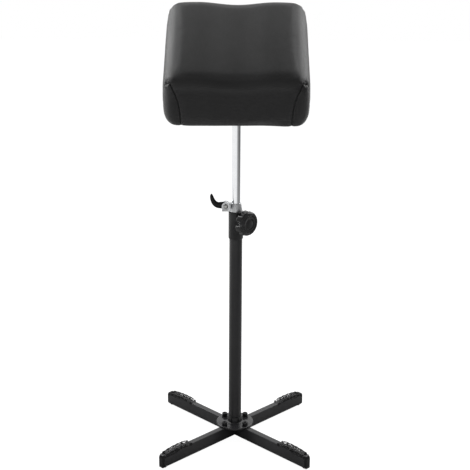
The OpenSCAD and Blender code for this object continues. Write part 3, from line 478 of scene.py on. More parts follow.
def makeStage():
    # the floor is white to the camera, and to reflections white far out, with a dark strip on the right
    bpy.ops.mesh.primitive_plane_add(size=stage["size"], location=(0, 0, 0))
    floor = added("floor")
    paint = Paint("paleFloor")
    direct = paint.add("ShaderNodeLightPath", {}, {}, "Is Camera Ray")
    mirror = paint.add("ShaderNodeLightPath", {}, {}, "Is Glossy Ray")
    through = paint.add("ShaderNodeLightPath", {}, {}, "Is Transmission Ray")
    x = paint.axis("X")
    y = paint.axis("Y")
    near = stage["frontNear"]
    away = (x * x + y * y) ** 0.5 + y.between(-near, near) * near
    slope = y / x.maths("MAXIMUM", 0.2)
    strip = slope.between(*stage["stripLow"]) * (1 - slope.between(*stage["stripHigh"]))
    strip = strip * x.between(*stage["stripX"])
    mirror = mirror * away.between(stage["whiteFrom"], stage["whiteAll"]) * (1 - strip)
    seen = direct.maths("MAXIMUM", mirror).maths("MAXIMUM", through)
    tone = paint.blend(direct, [stage["hiddenTone"]] * 3, [stage["seenTone"]] * 3)
    paint.done(tone, paint.noise(3) * 0.05 + stage["rough"])
    white = paint.add("ShaderNodeEmission", {}, {"Color": (1, 1, 1), "Strength": stage["glow"]})
    plain = Wire(paint, paint.shader.outputs[0])
    mixed = paint.add("ShaderNodeMixShader", {}, {0: seen * stage["glowShare"], 1: plain, 2: white})
    paint.feed(paint.tree.nodes["Material Output"].inputs["Surface"], mixed)
    dress(floor, paint.material)

    world = bpy.data.worlds.new("softRoom")
    bpy.context.scene.world = world
    world.use_nodes = True
    tree = world.node_tree
    back = tree.nodes["Background"]
    back.inputs["Color"].default_value = (1, 1, 1, 1)
    path = tree.nodes.new("ShaderNodeLightPath")
    level = tree.nodes.new("ShaderNodeMapRange")
    tree.links.new(path.outputs["Is Camera Ray"], level.inputs["Value"])
    level.inputs["To Min"].default_value = stage["roomLight"]
    level.inputs["To Max"].default_value = 1.0
    tree.links.new(level.outputs[0], back.inputs["Strength"])


bpy.context.scene.view_settings.view_transform = "Standard"
makeCamera()
makeLamps()
makeStage()
finishes = makeFinishes()
print("camera, lamps, stage and finishes made")


# Foot caps: an end block with a plug and a scroll crest, modelled once along +X for the four legs

cap = {
    "reach": 239.5 * mm, "length": 92 * mm, "width": 15 * mm, "tubeTop": 30.1 * mm, "top": 31 * mm,
    "crest": 5.5 * mm, "peak": 0.64, "nose": 8 * mm, "corner": 2.975 * mm, "end": 5 * mm,
    "plug": 24 * mm, "plugSize": (11.8 * mm, 26.8 * mm), "plugZ": 1.6 * mm, "joint": 2 * mm,
    "clear": 0.2 * mm, "footZ": 3 * mm, "voxel": 0.36 * mm, "setBack": 0.8 * mm, "slices": 90,
    "wallStep": 0.05 * mm, "hair": 0.1 * mm,
    "legs": {"foot_cap_front_left": 225, "foot_cap_front_right": 315, "foot_cap_back_left": 135,
             "foot_cap_back_right": 45},
}
capStart = cap["reach"] - cap["length"]
capEnd = cap["reach"] - cap["nose"]
capInner = cap["reach"] - cap["end"]
capHalf = cap["width"] / 2


# The crest's own line: a row of lobes on a bow, which runs into the tube at its inner end
crest = {"lobes": 6.5, "phase": 0.3, "blunt": 0.7, "drop": 1.2 * mm, "lobe": 1.3 * mm, "runIn": 0.16,
         "runOut": 7, "sunk": 0.6 * mm, "lifted": 1.5 * mm}


def crestHeight(x):
    # height of the crest's line above the tube's underside
    half = cap["peak"] * cap["length"] - cap["nose"]
    radius = (half ** 2 + cap["crest"] ** 2) / (2 * cap["crest"])
    peak = cap["reach"] - cap["peak"] * cap["length"]
    return cap["top"] + cap["crest"] - radius + math.sqrt(radius ** 2 - (x - peak) ** 2)


def box(name, low, high):
    bpy.ops.mesh.primitive_cube_add(size=1)
    obj = added(name)
    obj.scale = [b - a for a, b in zip(low, high)]
    obj.location = [(a + b) / 2 for a, b in zip(low, high)]
    settle(obj)
    return obj


def capBody():
    body = box("capBody", (capStart + cap["setBack"], -capHalf, 0), (cap["reach"], capHalf, cap["top"]))
    edit(body, "EDGE")
    pick(body, "EDGE", lambda e: all(v.co.x > cap["reach"] - mm and v.co.z > cap["top"] / 2
                                     for v in e.verts))
    bpy.ops.mesh.bevel(offset=cap["nose"], segments=10, profile=0.5)
    pick(body, "EDGE", lambda e: all(v.co.x > capEnd - cap["hair"] for v in e.verts)
         and abs(e.verts[0].co.y - e.verts[1].co.y) < cap["hair"])
    bpy.ops.mesh.bevel(offset=cap["corner"], segments=6, profile=0.5)
    cuts = np.linspace(capStart, capEnd, cap["slices"] + 1)[1:-1]
    for x in (*cuts, capInner, capInner + cap["wallStep"]):
        bpy.ops.mesh.select_all(action="SELECT")
        bpy.ops.mesh.bisect(plane_co=(x, 0, 0), plane_no=(1, 0, 0))
    finishEdit()
    for vert in body.data.vertices:
        if vert.co.z < mm and vert.co.x < capInner + cap["wallStep"] / 2:
            vert.co.z = cap["tubeTop"]
    # the faces over the tube lie close together, and both rise to the crest's line as a thin skin
    for vert in body.data.vertices:
        if vert.co.z > cap["top"] - mm and vert.co.x < capEnd:
            share = (vert.co.x - capStart) / (capEnd - capStart)
            lobe = abs(math.sin(math.pi * crest["lobes"] * share + crest["phase"])) ** crest["blunt"]
            lift = crestHeight(vert.co.x) - cap["top"] - crest["drop"] + crest["lobe"] * lobe
            runIn = math.sqrt(1 - (1 - min(1, share / crest["runIn"])) ** 2)
            swell = runIn * min(1, crest["runOut"] * (1 - share))
            vert.co.z = cap["tubeTop"] - crest["sunk"] + (lift + crest["lifted"]) * swell
    return body


def tube(name, points, radii, sides, flat=1.0):
    # a tapered round tube through the points, made a mesh; flat scales its width across them
    data = bpy.data.curves.new(name, "CURVE")
    data.dimensions = "3D"
    data.bevel_depth = 1
    data.bevel_resolution = sides
    data.use_fill_caps = True
    spline = data.splines.new("POLY")
    spline.points.add(len(points) - 1)
    for point, (x, y, z), radius in zip(spline.points, points, radii):
        point.co = (x, y, z, 1)
        point.radius = radius
    activate(placed(name, data))
    bpy.ops.object.convert(target="MESH")
    obj = bpy.context.object
    if flat != 1.0:
        y0 = points[0][1]
        for vert in obj.data.vertices:
            vert.co.y = y0 + (vert.co.y - y0) * flat
    return obj


# Carving on both sides of the cap: volutes by their start in degrees and turns, ribbons and bosses
volutes = {
    "root": {"start": 95, "turns": 1.5, "size": 2.8 * mm, "thick": 1.3 * mm, "boss": 1.9 * mm},
    "tip": {"start": 80, "turns": -1.5, "size": 3.4 * mm, "thick": 1.1 * mm, "boss": 1.4 * mm},
    "nose": {"start": 100, "turns": -1.2, "size": 2.6 * mm, "thick": 0.9 * mm},
    "middle": {"start": 170, "turns": 1.25, "size": 2.7 * mm, "thick": 1.05 * mm},
}
carving = {
    "proud": 0.1 * mm, "steps": 44, "winding": 0.85, "eye": 0.6, "thinning": 0.45, "flat": 1.15,
    "rootGap": 1.9 * mm, "rootZ": 29.2 * mm, "tipBack": 0.2, "tipDrop": 4.6 * mm,
    "noseBack": 1.05, "noseZ": 26 * mm, "middles": (0.25, 0.38, 0.51, 0.64), "middleDrop": 3.8 * mm,
}
topLine = {"from": 0.1, "to": 0.86, "points": 30, "drop": 0.9 * mm, "wave": 0.5 * mm, "rate": 420,
           "thick": 1.05 * mm}
lowLine = {"from": 0.12, "to": 0.9, "points": 34, "z": 29 * mm, "dip": 4 * mm, "dipFrom": 0.42,
           "dipOver": 0.18, "thick": 0.85 * mm, "wave": 0.15 * mm, "beat": 1.9}
bossRows = [{"first": 0.19, "pitch": 0.13, "z": 29.6 * mm, "size": 1.15 * mm},
            {"first": 0.66, "pitch": 0.055, "z": 26.6 * mm, "size": 1 * mm}]
ridge = {"numbers": range(2, 8), "shift": 0.02, "pitches": 7.6, "points": 13, "drop": 0.9 * mm,
         "bow": 1.5 * mm, "rise": 0.4 * mm, "thick": 1.2 * mm, "thinning": 0.3 * mm}


def spiral(spot, side, volute, way=1):
    # a volute round a spot, which winds inwards one way or the other and thins towards its eye
    points = []
    radii = []
    thick = volute["thick"]
    for step in range(carving["steps"] + 1):
        share = step / carving["steps"]
        reach = volute["size"] * (1 - share) ** carving["winding"] + thick * carving["eye"]
        angle = math.radians(volute["start"]) + way * volute["turns"] * 2 * math.pi * share
        points.append((spot[0] + reach * math.cos(angle), side, spot[1] + reach * math.sin(angle)))
        radii.append(thick * (1 - carving["thinning"] * share))
    return points, radii


def ribbons(side):
    # one under the crest's line, and one lower down, which dips towards the nose
    length = cap["length"]
    upper = []
    for share in np.linspace(topLine["from"], topLine["to"], topLine["points"]):
        x = capStart + length * share
        wave = topLine["wave"] * math.sin((x - capStart) * topLine["rate"])
        upper.append((x, side, crestHeight(x) - topLine["drop"] + wave))
    lower = []
    for share in np.linspace(lowLine["from"], lowLine["to"], lowLine["points"]):
        along = min(max((share - lowLine["dipFrom"]) / lowLine["dipOver"], 0), 1)
        dip = 0.5 - 0.5 * math.cos(math.pi * along)
        lower.append((capStart + length * share, side, lowLine["z"] - lowLine["dip"] * dip))
    beats = [lowLine["wave"] * math.cos(k * lowLine["beat"]) for k in range(len(lower))]
    return [(upper, [topLine["thick"]] * len(upper)),
            (lower, [lowLine["thick"] + beat for beat in beats])]


def capScrolls():
    length = cap["length"]
    tipX = cap["reach"] - length * carving["tipBack"]
    spots = {
        "root": (capStart + volutes["root"]["size"] + carving["rootGap"], carving["rootZ"]),
        "tip": (tipX, crestHeight(tipX) - carving["tipDrop"]),
        "nose": (cap["reach"] - cap["nose"] * carving["noseBack"], carving["noseZ"]),
    }
    parts = []
    for hand in (-1, 1):
        side = hand * (capHalf + carving["proud"])
        runs = [spiral(spot, side, volutes[name]) for name, spot in spots.items()]
        for index, share in enumerate(carving["middles"]):
            x = capStart + length * share
            spot = (x, crestHeight(x) - carving["middleDrop"])
            runs.append(spiral(spot, side, volutes["middle"], -1 if index % 2 else 1))
        for points, radii in runs + ribbons(side):
            parts.append(tube("scroll", points, radii, 4, carving["flat"]))
        bosses = [(*spots[name], volutes[name]["boss"]) for name in ("root", "tip")]
        for row in bossRows:
            bosses += [(capStart + length * (row["first"] + row["pitch"] * k), row["z"], row["size"])
                       for k in range(4)]
        for x, z, size in bosses:
            bpy.ops.mesh.primitive_uv_sphere_add(segments=20, ring_count=12, radius=size,
                                                 location=(x, side, z))
            parts.append(added("boss"))
            settle(parts[-1])
    # rolled ridges lie across the crest, between the lobes
    across = np.linspace(-1, 1, ridge["points"])
    for number in ridge["numbers"]:
        x = capStart + (length - cap["nose"]) * (number + ridge["shift"]) / ridge["pitches"]
        z = crestHeight(x) - ridge["drop"]
        points = [(x + ridge["bow"] * (1 - math.cos(math.pi * s)), s * capHalf,
                   z + ridge["rise"] * (1 - s * s)) for s in across]
        radii = [ridge["thick"] - ridge["thinning"] * abs(s) for s in across]
        parts.append(tube("ridge", points, radii, 4))
    return parts


def capModel():
    # crest, end block, plug and scrolls are fused as if moulded; no scroll reaches into the tube's wall
    wide = capHalf + cap["clear"]
    scrolls = joined(capScrolls(), "capScrolls")
    for vert in scrolls.data.vertices:
        if vert.co.z < cap["tubeTop"] + cap["clear"] and vert.co.x < capInner:
            vert.co.y = math.copysign(max(abs(vert.co.y), wide), vert.co.y)
    plugW, plugH = cap["plugSize"]
    plugZ = cap["plugZ"]
    plug = box("plug", (capInner - cap["plug"], -plugW / 2, plugZ),
               (capInner + cap["joint"], plugW / 2, plugZ + plugH))
    model = joined([capBody(), scrolls, plug], "footCap")
    outward(model)
    model.data.remesh_voxel_size = cap["voxel"]
    activate(model)
    bpy.ops.object.voxel_remesh()
    modify(model, "SMOOTH", factor=0.4, iterations=2)
    return model


def makeCaps():
    model = capModel()
    soften(model, 50)
    dress(model, finishes["cap_black"])
    for node, angle in cap["legs"].items():
        piece = twin(model, camel(node))
        settle(piece, Matrix.Translation((0, poleY, cap["footZ"])) @ turned(angle, "Z"))
        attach(piece, "stand")
        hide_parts(node)
    bpy.data.objects.remove(model)


makeCaps()
print("foot caps made")


# Lobed knobs, turned up from their joints

lockKnob = {
    "name": "lockKnob", "node": "lock_knob", "body": "lock_handle", "joint": "lock_knob_turn",
    "radius": 29 * mm, "start": 26 * mm, "thick": 19 * mm, "notch": 8.5 * mm, "rim": 4.5 * mm,
    "edge": 4 * mm, "button": 12 * mm,
}
tiltKnob = {
    "name": "tiltKnob", "node": "tilt_knob", "body": "tilt_handle", "joint": "tilt_knob_turn",
    "radius": 20 * mm, "start": 12.15 * mm, "thick": 16 * mm, "notch": 5.8 * mm, "rim": 3.8 * mm,
    "edge": 3 * mm, "button": 8 * mm,
}
lobes = {"count": 7, "turn": 5, "halfNotch": 0.27, "narrowed": 0.06, "corners": 252, "walls": 17}
# shares of the edge or the radius, and the steps of the recess in the back and round the button
knobForm = {"backEdge": 0.5, "frontEdge": 1.3, "grooveWide": 0.62, "grooveDeep": 0.42,
            "recess": ((0.38, 2 * mm), (0.5, 2 * mm), (0.58, 0.4 * mm), (0.62, 0)),
            "buttonGap": ((0.7 * mm, 0), (0.25 * mm, 0.3 * mm), (0.1 * mm, 1.6 * mm))}


def plainRing(radius, z):
    corners = lobes["corners"]
    return [(radius, 2 * math.pi * k / corners, z) for k in range(corners)]


def lobedRing(knob, inset, z):
    # one ring of the outline: seven deep notches, which run out towards the smaller round front
    points = []
    pitch = 2 * math.pi / lobes["count"]
    below = (knob["thick"] - knob["rim"] - z) / (knob["thick"] - knob["rim"])
    depth = knob["notch"] * (1 - (1 - min(max(below, 0), 1)) ** 3)
    narrowed = lobes["narrowed"] * knob["radius"] * (z / knob["thick"]) ** 2
    for step in range(lobes["corners"]):
        angle = 2 * math.pi * step / lobes["corners"]
        turn = (angle - math.radians(lobes["turn"])) % pitch
        share = min(min(turn, pitch - turn) / (lobes["halfNotch"] * pitch), 1)
        radius = knob["radius"] - max(inset, narrowed) - depth * (1 - share ** 2) ** 1.5
        points.append((radius, angle, z))
    return points


def knobRings(knob):
    # from the sunk middle of the back, out over the wall, to the face with its groove and sunk middle
    edge = knob["edge"]
    back = edge * knobForm["backEdge"]
    front = edge * knobForm["frontEdge"]
    thick = knob["thick"]
    rings = [plainRing(knob["radius"] * share, z) for share, z in knobForm["recess"]]
    for turn in np.linspace(0, math.pi / 2, 7):
        rings.append(lobedRing(knob, back * (1 - math.sin(turn)), back * (1 - math.cos(turn))))
    for step in range(1, lobes["walls"]):
        rings.append(lobedRing(knob, 0, back + (thick - back - edge) * step / lobes["walls"]))
    for turn in np.linspace(0, math.pi / 2, 9):
        inset = lobes["narrowed"] * knob["radius"] + front * (1 - math.cos(turn))
        rings.append(lobedRing(knob, inset, thick - edge * (1 - math.sin(turn))))
    groove = (knob["button"] + knob["radius"]) / 2
    for turn in np.linspace(0, math.pi, 9):
        rings.append(plainRing(groove + edge * knobForm["grooveWide"] * math.cos(turn),
                               thick - edge * knobForm["grooveDeep"] * math.sin(turn)))
    return rings + [plainRing(knob["button"] + gap, thick - down) for gap, down in knobForm["buttonGap"]]


def makeKnob(knob):
    mesh = bmesh.new()
    loops = [[mesh.verts.new((radius * math.cos(angle), radius * math.sin(angle), z))
              for radius, angle, z in ring] for ring in knobRings(knob)]
    for lower, upper in zip(loops, loops[1:]):
        for k in range(len(lower)):
            after = (k + 1) % len(lower)
            mesh.faces.new((lower[k], lower[after], upper[after], upper[k]))
    mesh.faces.new(list(reversed(loops[0])))
    mesh.faces.new(loops[-1])
    data = bpy.data.meshes.new(knob["name"])
    mesh.to_mesh(data)
    mesh.free()
    obj = placed(knob["name"], data)
    outward(obj)
    joint = joints[knob["joint"]]
    axis = Vector(joint["axis"])
    centre = Vector((0, poleY, joint["pos_m"][2]))
    flat = math.atan2(axis.y, axis.x)
    turn = Matrix.Rotation(flat, 4, "Z") @ Matrix.Rotation(math.pi / 2, 4, "Y")
    settle(obj, Matrix.Translation(centre) @ turn @ Matrix.Translation((0, 0, knob["start"])))
    soften(obj, 40)
    dress(obj, finishes["knob_black"])
    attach(obj, knob["body"])
    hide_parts(knob["node"])


makeKnob(lockKnob)
makeKnob(tiltKnob)
print("knobs made")


# Horn grip of the clamp lever

grip = {"rootX": 28.72 * mm, "rootZ": 585.6 * mm, "length": 27 * mm, "rise": 26.5 * mm, "deep": 8 * mm,
        "thin": 5.5 * mm, "y": 12.05 * mm, "straight": 0.36, "taper": 0.6, "hub": 9.55 * mm,
        "tipFrom": 0.93, "tipEnd": 1.0105, "tipLeast": 0.0002}


def gripMid(share):
    straight = grip["straight"]
    bend = max(share - straight, 0) / (1 - straight) * math.pi / 2
    x = -grip["rootX"] - grip["length"] * (min(share, straight) + (1 - straight) * math.sin(bend))
    return x, grip["rootZ"] + grip["rise"] * (1 - math.cos(bend))


def makeGrip():
    shares = [-0.18, -0.1, *np.linspace(0, 0.94, 22), 0.965, 0.985, 1.0, 1.01]
    points = []
    radii = []
    for share in shares:
        x, z = gripMid(share)
        points.append((x, poleY - grip["y"], z))
        size = 1 - grip["taper"] * max(share, 0) ** 2
        if share > grip["tipFrom"]:
            left = max(grip["tipEnd"] - share, grip["tipLeast"])
            size *= math.sqrt(left / (grip["tipEnd"] - grip["tipFrom"]))
        radii.append(grip["deep"] * size)
    obj = tube("leverGrip", points, radii, 10, grip["thin"] / grip["deep"])
    # the root is cut round for the lever's hub
    hub = joints["clamp_lever_turn"]["pos_m"]
    bpy.ops.mesh.primitive_cylinder_add(
        vertices=96, radius=grip["hub"], depth=30 * mm, rotation=(math.pi / 2, 0, 0),
        location=(hub[0], poleY - grip["y"], hub[2]))
    cutter = added("gripCutter")
    modify(obj, "BOOLEAN", object=cutter, operation="DIFFERENCE", solver="EXACT")
    bpy.data.objects.remove(cutter)
    obj.name = "leverGrip"
    outward(obj)
    soften(obj, 50)
    dress(obj, finishes["grip_black"])
    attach(obj, "clamp_arm")
    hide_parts("lever_grip")


makeGrip()
print("lever grip made")


# The pad: one skin is shaped, swelled as cloth, seamed, and parted into the cover and four gussets

pad = {
    "width": 309 * mm, "depth": 290 * mm, "height": 132 * mm, "tilt": 32, "rise": 29.6 * mm,
    "cornerR": 28 * mm, "topR": 30 * mm, "bottomR": 15 * mm, "bulge": 3 * mm,
    "dip": 8 * mm, "crown": 5 * mm, "frontFall": 3.5 * mm, "backFall": 2.5 * mm, "hump": 0.55,
    "sideFall": 0.6, "gusset": 38 * mm, "gussetTop": 0.95, "opening": (216.6 * mm, 197.6 * mm),
    "skin": 1.2 * mm, "voxel": 4.5 * mm, "drawn": 1.008, "lifted": 1.02,
}
seamTop = pad["height"] * pad["gussetTop"]
halfW = pad["width"] / 2 - pad["bulge"]
halfD = pad["depth"] / 2 - pad["bulge"]
padPlace = Matrix.Translation(pivot) @ turned(pad["tilt"], "X") @ Matrix.Translation((0, 0, pad["rise"]))


def sharp(edge):
    return len(edge.link_faces) == 2 and abs(edge.calc_face_angle(0)) > 1


def roundedBlock():
    bpy.ops.mesh.primitive_cube_add(size=1)
    block = added("padSkin")
    block.scale = (2 * halfW, 2 * halfD, pad["height"])
    block.location = (0, 0, pad["height"] / 2)
    settle(block)
    edit(block, "EDGE")
    pick(block, "EDGE", lambda e: abs(e.verts[0].co.z - e.verts[1].co.z) > 10 * mm)
    bpy.ops.mesh.bevel(offset=pad["cornerR"], segments=10, profile=0.5)
    pick(block, "EDGE", lambda e: all(v.co.z > pad["height"] - mm for v in e.verts) and sharp(e))
    bpy.ops.mesh.bevel(offset=pad["topR"], segments=10, profile=0.5)
    pick(block, "EDGE", lambda e: all(v.co.z < mm for v in e.verts) and sharp(e))
    bpy.ops.mesh.bevel(offset=pad["bottomR"], segments=8, profile=0.5)
    finishEdit()
    block.data.remesh_voxel_size = pad["voxel"]
    activate(block)
    bpy.ops.object.voxel_remesh()
    modify(block, "SMOOTH", factor=0.5, iterations=9)
    return block


def saddle(x, y):
    # how far the top lies below its block: a hollow along the middle, and a fall at the sides and ends
    u = np.abs(x) / halfW
    v = y / halfD
    inner = pad["dip"] * (0.5 + 0.5 * np.cos(np.pi * np.minimum(u / pad["hump"], 1)))
    outer = pad["sideFall"] * pad["dip"] * (np.maximum(u - pad["hump"], 0) / (1 - pad["hump"])) ** 2
    ends = v ** 4 * np.where(v < 0, pad["frontFall"], pad["backFall"])
    return -pad["crown"] * v * v - inner - outer - ends


def rows(values, field):
    flat = np.empty(len(values) * 3)
    values.foreach_get(field, flat)
    return flat.reshape(-1, 3)


def coords(obj):
    return rows(obj.data.vertices, "co")


def setCoords(obj, points):
    obj.data.vertices.foreach_set("co", points.ravel())
    obj.data.update()


def normals(obj):
    return rows(obj.data.vertex_normals, "vector")


def shapePad(points):
    x, y, z = points.T
    span = pad["height"] - pad["topR"] - pad["bottomR"]
    swell = np.sin(np.pi * np.clip((z - pad["bottomR"]) / span, 0, 1) ** 0.6) * pad["bulge"]
    newX = x * (1 + swell / halfW)
    newY = y * (1 + swell / halfD)
    newZ = z + saddle(newX, newY) * (z / pad["height"]) ** 2
    return np.stack([newX, newY, newZ], 1)


def gussetReach(z):
    share = np.clip(z / seamTop, 0, 1)
    return pad["gusset"] * np.sqrt(1 - share ** 3)


def seamSide(points):
    # above 0 inside a gusset and below 0 on the cover, in metres near the seam
    x, y, z = points.T
    reach = gussetReach(z)
    side = np.minimum(np.abs(x) - (pad["width"] / 2 - reach), np.abs(y) - (pad["depth"] / 2 - reach))
    return np.where(z > seamTop, np.minimum(side, seamTop - z), side)


# The skin as cloth: it starts sunk by its slack, and what it moves is kept within these limits
swelling = {
    "pin": 0.6, "foot": 3 * mm, "slack": 2.2 * mm, "pinSink": 0.6 * mm, "frames": 22,
    "slide": 1.2 * mm, "rise": 0.8 * mm, "sink": 0.5 * mm, "seamSink": 1.5 * mm, "seamWide": 7 * mm,
}
clothValues = {"quality": 6, "mass": 0.05, "tension_stiffness": 12, "compression_stiffness": 12,
               "bending_stiffness": 0.4, "shrink_min": -0.012, "use_pressure": True,
               "uniform_pressure_force": 45, "vertex_group_mass": "held"}


def inflate(block):
    # the skin is pinned at its seams and its foot, and swells and slides a little between them
    goal = coords(block)
    out = normals(block)
    side = seamSide(goal)
    pinned = (np.abs(side) < swelling["pin"] * pad["voxel"]) & (goal[:, 2] < seamTop)
    foot = goal[:, 2] < swelling["foot"]
    sink = np.where(foot, 0, swelling["slack"] + np.where(pinned, swelling["pinSink"], 0))
    setCoords(block, goal - out * sink[:, None])
    group = block.vertex_groups.new(name="held")
    group.add([int(i) for i in np.nonzero(pinned | foot)[0]], 1.0, "REPLACE")
    modifier = block.modifiers.new("swell", "CLOTH")
    for key, value in clothValues.items():
        setattr(modifier.settings, key, value)
    modifier.settings.effector_weights.gravity = 0
    scene = bpy.context.scene
    for step in range(1, swelling["frames"] + 1):
        scene.frame_set(step)
    activate(block)
    bpy.ops.object.modifier_apply(modifier="swell")
    scene.frame_set(1)
    block.vertex_groups.clear()
    moved = coords(block) - goal
    lift = (moved * out).sum(1)
    lowest = -swelling["sink"] - swelling["seamSink"] * np.exp(-(side / swelling["seamWide"]) ** 2)
    slide = moved - out * lift[:, None]
    slide *= np.minimum(1, swelling["slide"] / np.maximum(np.linalg.norm(slide, axis=1), 1e-6))[:, None]
    setCoords(block, goal + slide + out * np.clip(lift, lowest, swelling["rise"])[:, None])
    modify(block, "SMOOTH", factor=0.5, iterations=7)
    print("pad swelled by", (lift.min() / mm).round(2), "to", (lift.max() / mm).round(2), "mm")


def fitPad(block):
    # brings the skin to its real width, depth and height, with a little more for what creases draw in
    points = coords(block)
    for axis, size in ((0, pad["width"]), (1, pad["depth"])):
        low, high = np.percentile(points[:, axis], (1, 99))
        points[:, axis] *= size * pad["drawn"] / (high - low)
    low = points[:, 2].min()
    points[:, 2] = (points[:, 2] - low) * pad["height"] * pad["lifted"] / (points[:, 2].max() - low)
    setCoords(block, points)


def snapSeam(block):
    # moves the nearer end of each edge that crosses the seam onto it, so that the seam runs clean
    edit(block)
    bpy.ops.mesh.select_all(action="SELECT")
    bpy.ops.mesh.quads_convert_to_tris(quad_method="BEAUTY", ngon_method="BEAUTY")
    finishEdit()
    points = coords(block)
    side = seamSide(points)
    ends = np.empty(len(block.data.edges) * 2, dtype=int)
    block.data.edges.foreach_get("vertices", ends)
    ends = ends.reshape(-1, 2)
    a, b = ends.T
    crossing = np.nonzero(side[a] * side[b] < 0)[0]
    best = {}
    for k in crossing:
        share = side[a[k]] / (side[a[k]] - side[b[k]])
        spot = points[a[k]] + (points[b[k]] - points[a[k]]) * share
        vert = int(a[k] if share < 0.5 else b[k])
        move = min(share, 1 - share)
        if vert not in best or move < best[vert][0]:
            best[vert] = (move, spot)
    for vert, (move, spot) in best.items():
        points[vert] = spot
    setCoords(block, points)
    return sorted(best)


def seamLength():
    # length along a seam from its foot up to a height
    heights = np.linspace(0, seamTop, 200)
    steps = np.hypot(np.diff(heights), np.diff(gussetReach(heights)))
    return heights, np.concatenate([[0], np.cumsum(steps)])


# Creases: a valley along the seam, puckers beside it, more of them high up, and a wavy foot
crease = {
    "reach": 45 * mm, "none": 50 * mm, "offset": 2.1 * mm, "valley": 1.3 * mm, "valleyWide": 2.4 * mm,
    "within": 30 * mm, "base": 0.25, "highFrom": 0.72, "high": 3.6, "right": 1.25, "left": 0.75,
    "pitch": 10.5 * mm, "stray": 2.5, "peak": 5 * mm, "fade": 6.5 * mm, "pucker": 0.75 * mm,
    "crumple": 0.9 * mm, "footZ": 11 * mm, "footWide": 9 * mm, "foot": 2.6 * mm, "sway": 0.5 * mm,
    "flat": 1.5 * mm, "least": 0.05,
}
# repeats to the metre of each noise, and the foot's place in it
rates = {"stray": 9, "crumple": 95, "foot": 17, "footRow": 3.1, "sway": 11}


def noiseAt(spot, rate):
    return noise.noise(Vector([value * rate for value in spot]))


def seamDetail(block, seamVerts):
    points = coords(block)
    out = normals(block)
    tree = kdtree.KDTree(len(seamVerts))
    for index, vert in enumerate(seamVerts):
        tree.insert(points[vert], index)
    tree.balance()
    heights, lengths = seamLength()
    away = np.full(len(points), crease["none"])
    along = np.zeros(len(points))
    for vert in np.nonzero(np.abs(seamSide(points)) < crease["reach"])[0]:
        spot, index, distance = tree.find(points[vert])
        away[vert] = distance
        offset = crease["offset"] if abs(spot[0]) < abs(spot[1]) else 0
        along[vert] = np.interp(spot[2], heights, lengths) + offset
    push = -crease["valley"] * np.exp(-(away / crease["valleyWide"]) ** 2)
    for vert in np.nonzero(away < crease["within"])[0]:
        spot = points[vert]
        high = max(spot[2] / seamTop - crease["highFrom"], 0) * crease["high"]
        crumple = crease["base"] + high * (crease["right"] if spot[0] > 0 else crease["left"])
        stray = crease["stray"] * noiseAt(spot, rates["stray"])
        phase = along[vert] * 2 * math.pi / crease["pitch"] + stray
        fade = math.exp(-((away[vert] - crease["peak"]) / crease["fade"]) ** 2)
        push[vert] += crease["pucker"] * crumple * fade * math.sin(phase)
        push[vert] += crease["crumple"] * crumple * noiseAt(spot, rates["crumple"]) * fade
    foot = np.exp(-((points[:, 2] - crease["footZ"]) / crease["footWide"]) ** 2)
    for vert in np.nonzero(foot > crease["least"])[0]:
        x, y, z = points[vert] * rates["foot"]
        push[vert] += crease["foot"] * foot[vert] * noise.noise(Vector((x, y, rates["footRow"])))
    push += crease["sway"] * np.array([noiseAt(spot, rates["sway"]) for spot in points])
    push[points[:, 2] < crease["flat"]] = 0
    setCoords(block, points + out * push[:, None])
    for name, values in (("seamAway", away), ("seamAlong", along)):
        attribute = block.data.attributes.new(name, "FLOAT", "POINT")
        attribute.data.foreach_set("value", values)


skinNodes = ("pad_cover", "gusset_front_left", "gusset_front_right", "gusset_back_left",
             "gusset_back_right")
foldTop = 2.5 * mm
onSeam = 0.02 * mm
foamRoom = {"under": 5.5 * mm, "bottom": 13.2 * mm}


def partSkin(block):
    # faces inside the seam go to the gusset of their corner, and the fold's middle is cut out
    points = coords(block)
    side = seamSide(points)
    side[np.abs(side) < onSeam] = 0
    openW, openD = pad["opening"]
    labels = []
    for face in block.data.polygons:
        verts = list(face.vertices)
        x, y, z = points[verts].mean(0)
        if z < foldTop and abs(x) < openW / 2 and abs(y) < openD / 2:
            labels.append(len(skinNodes))
        elif side[verts].sum() > 0:
            labels.append(1 + (x > 0) + 2 * (y > 0))
        else:
            labels.append(0)
    labels = np.array(labels)
    pieces = []
    for kind, node in enumerate(skinNodes):
        piece = twin(block, camel(node))
        mesh = bmesh.new()
        mesh.from_mesh(piece.data)
        mesh.faces.ensure_lookup_table()
        others = [mesh.faces[i] for i in np.nonzero(labels != kind)[0]]
        bmesh.ops.delete(mesh, geom=others, context="FACES")
        mesh.to_mesh(piece.data)
        mesh.free()
        pieces.append(piece)
    return pieces


def makePad():
    block = roundedBlock()
    setCoords(block, shapePad(coords(block)))
    core = twin(block, "padFoam")
    inflate(block)
    fitPad(block)
    modify(block, "SUBSURF", levels=1, render_levels=1)
    seamVerts = snapSeam(block)
    # the parting is read from the skin before its creases, so it stays on the seam
    plain = coords(block)
    seamDetail(block, seamVerts)
    detail = coords(block)
    setCoords(block, plain)
    pieces = partSkin(block)
    moved = {tuple(np.round(p, 7)): q for p, q in zip(plain, detail)}
    for piece in pieces:
        setCoords(piece, np.array([moved[tuple(np.round(p, 7))] for p in coords(piece)]))
    bpy.data.objects.remove(block)
    return pieces, core


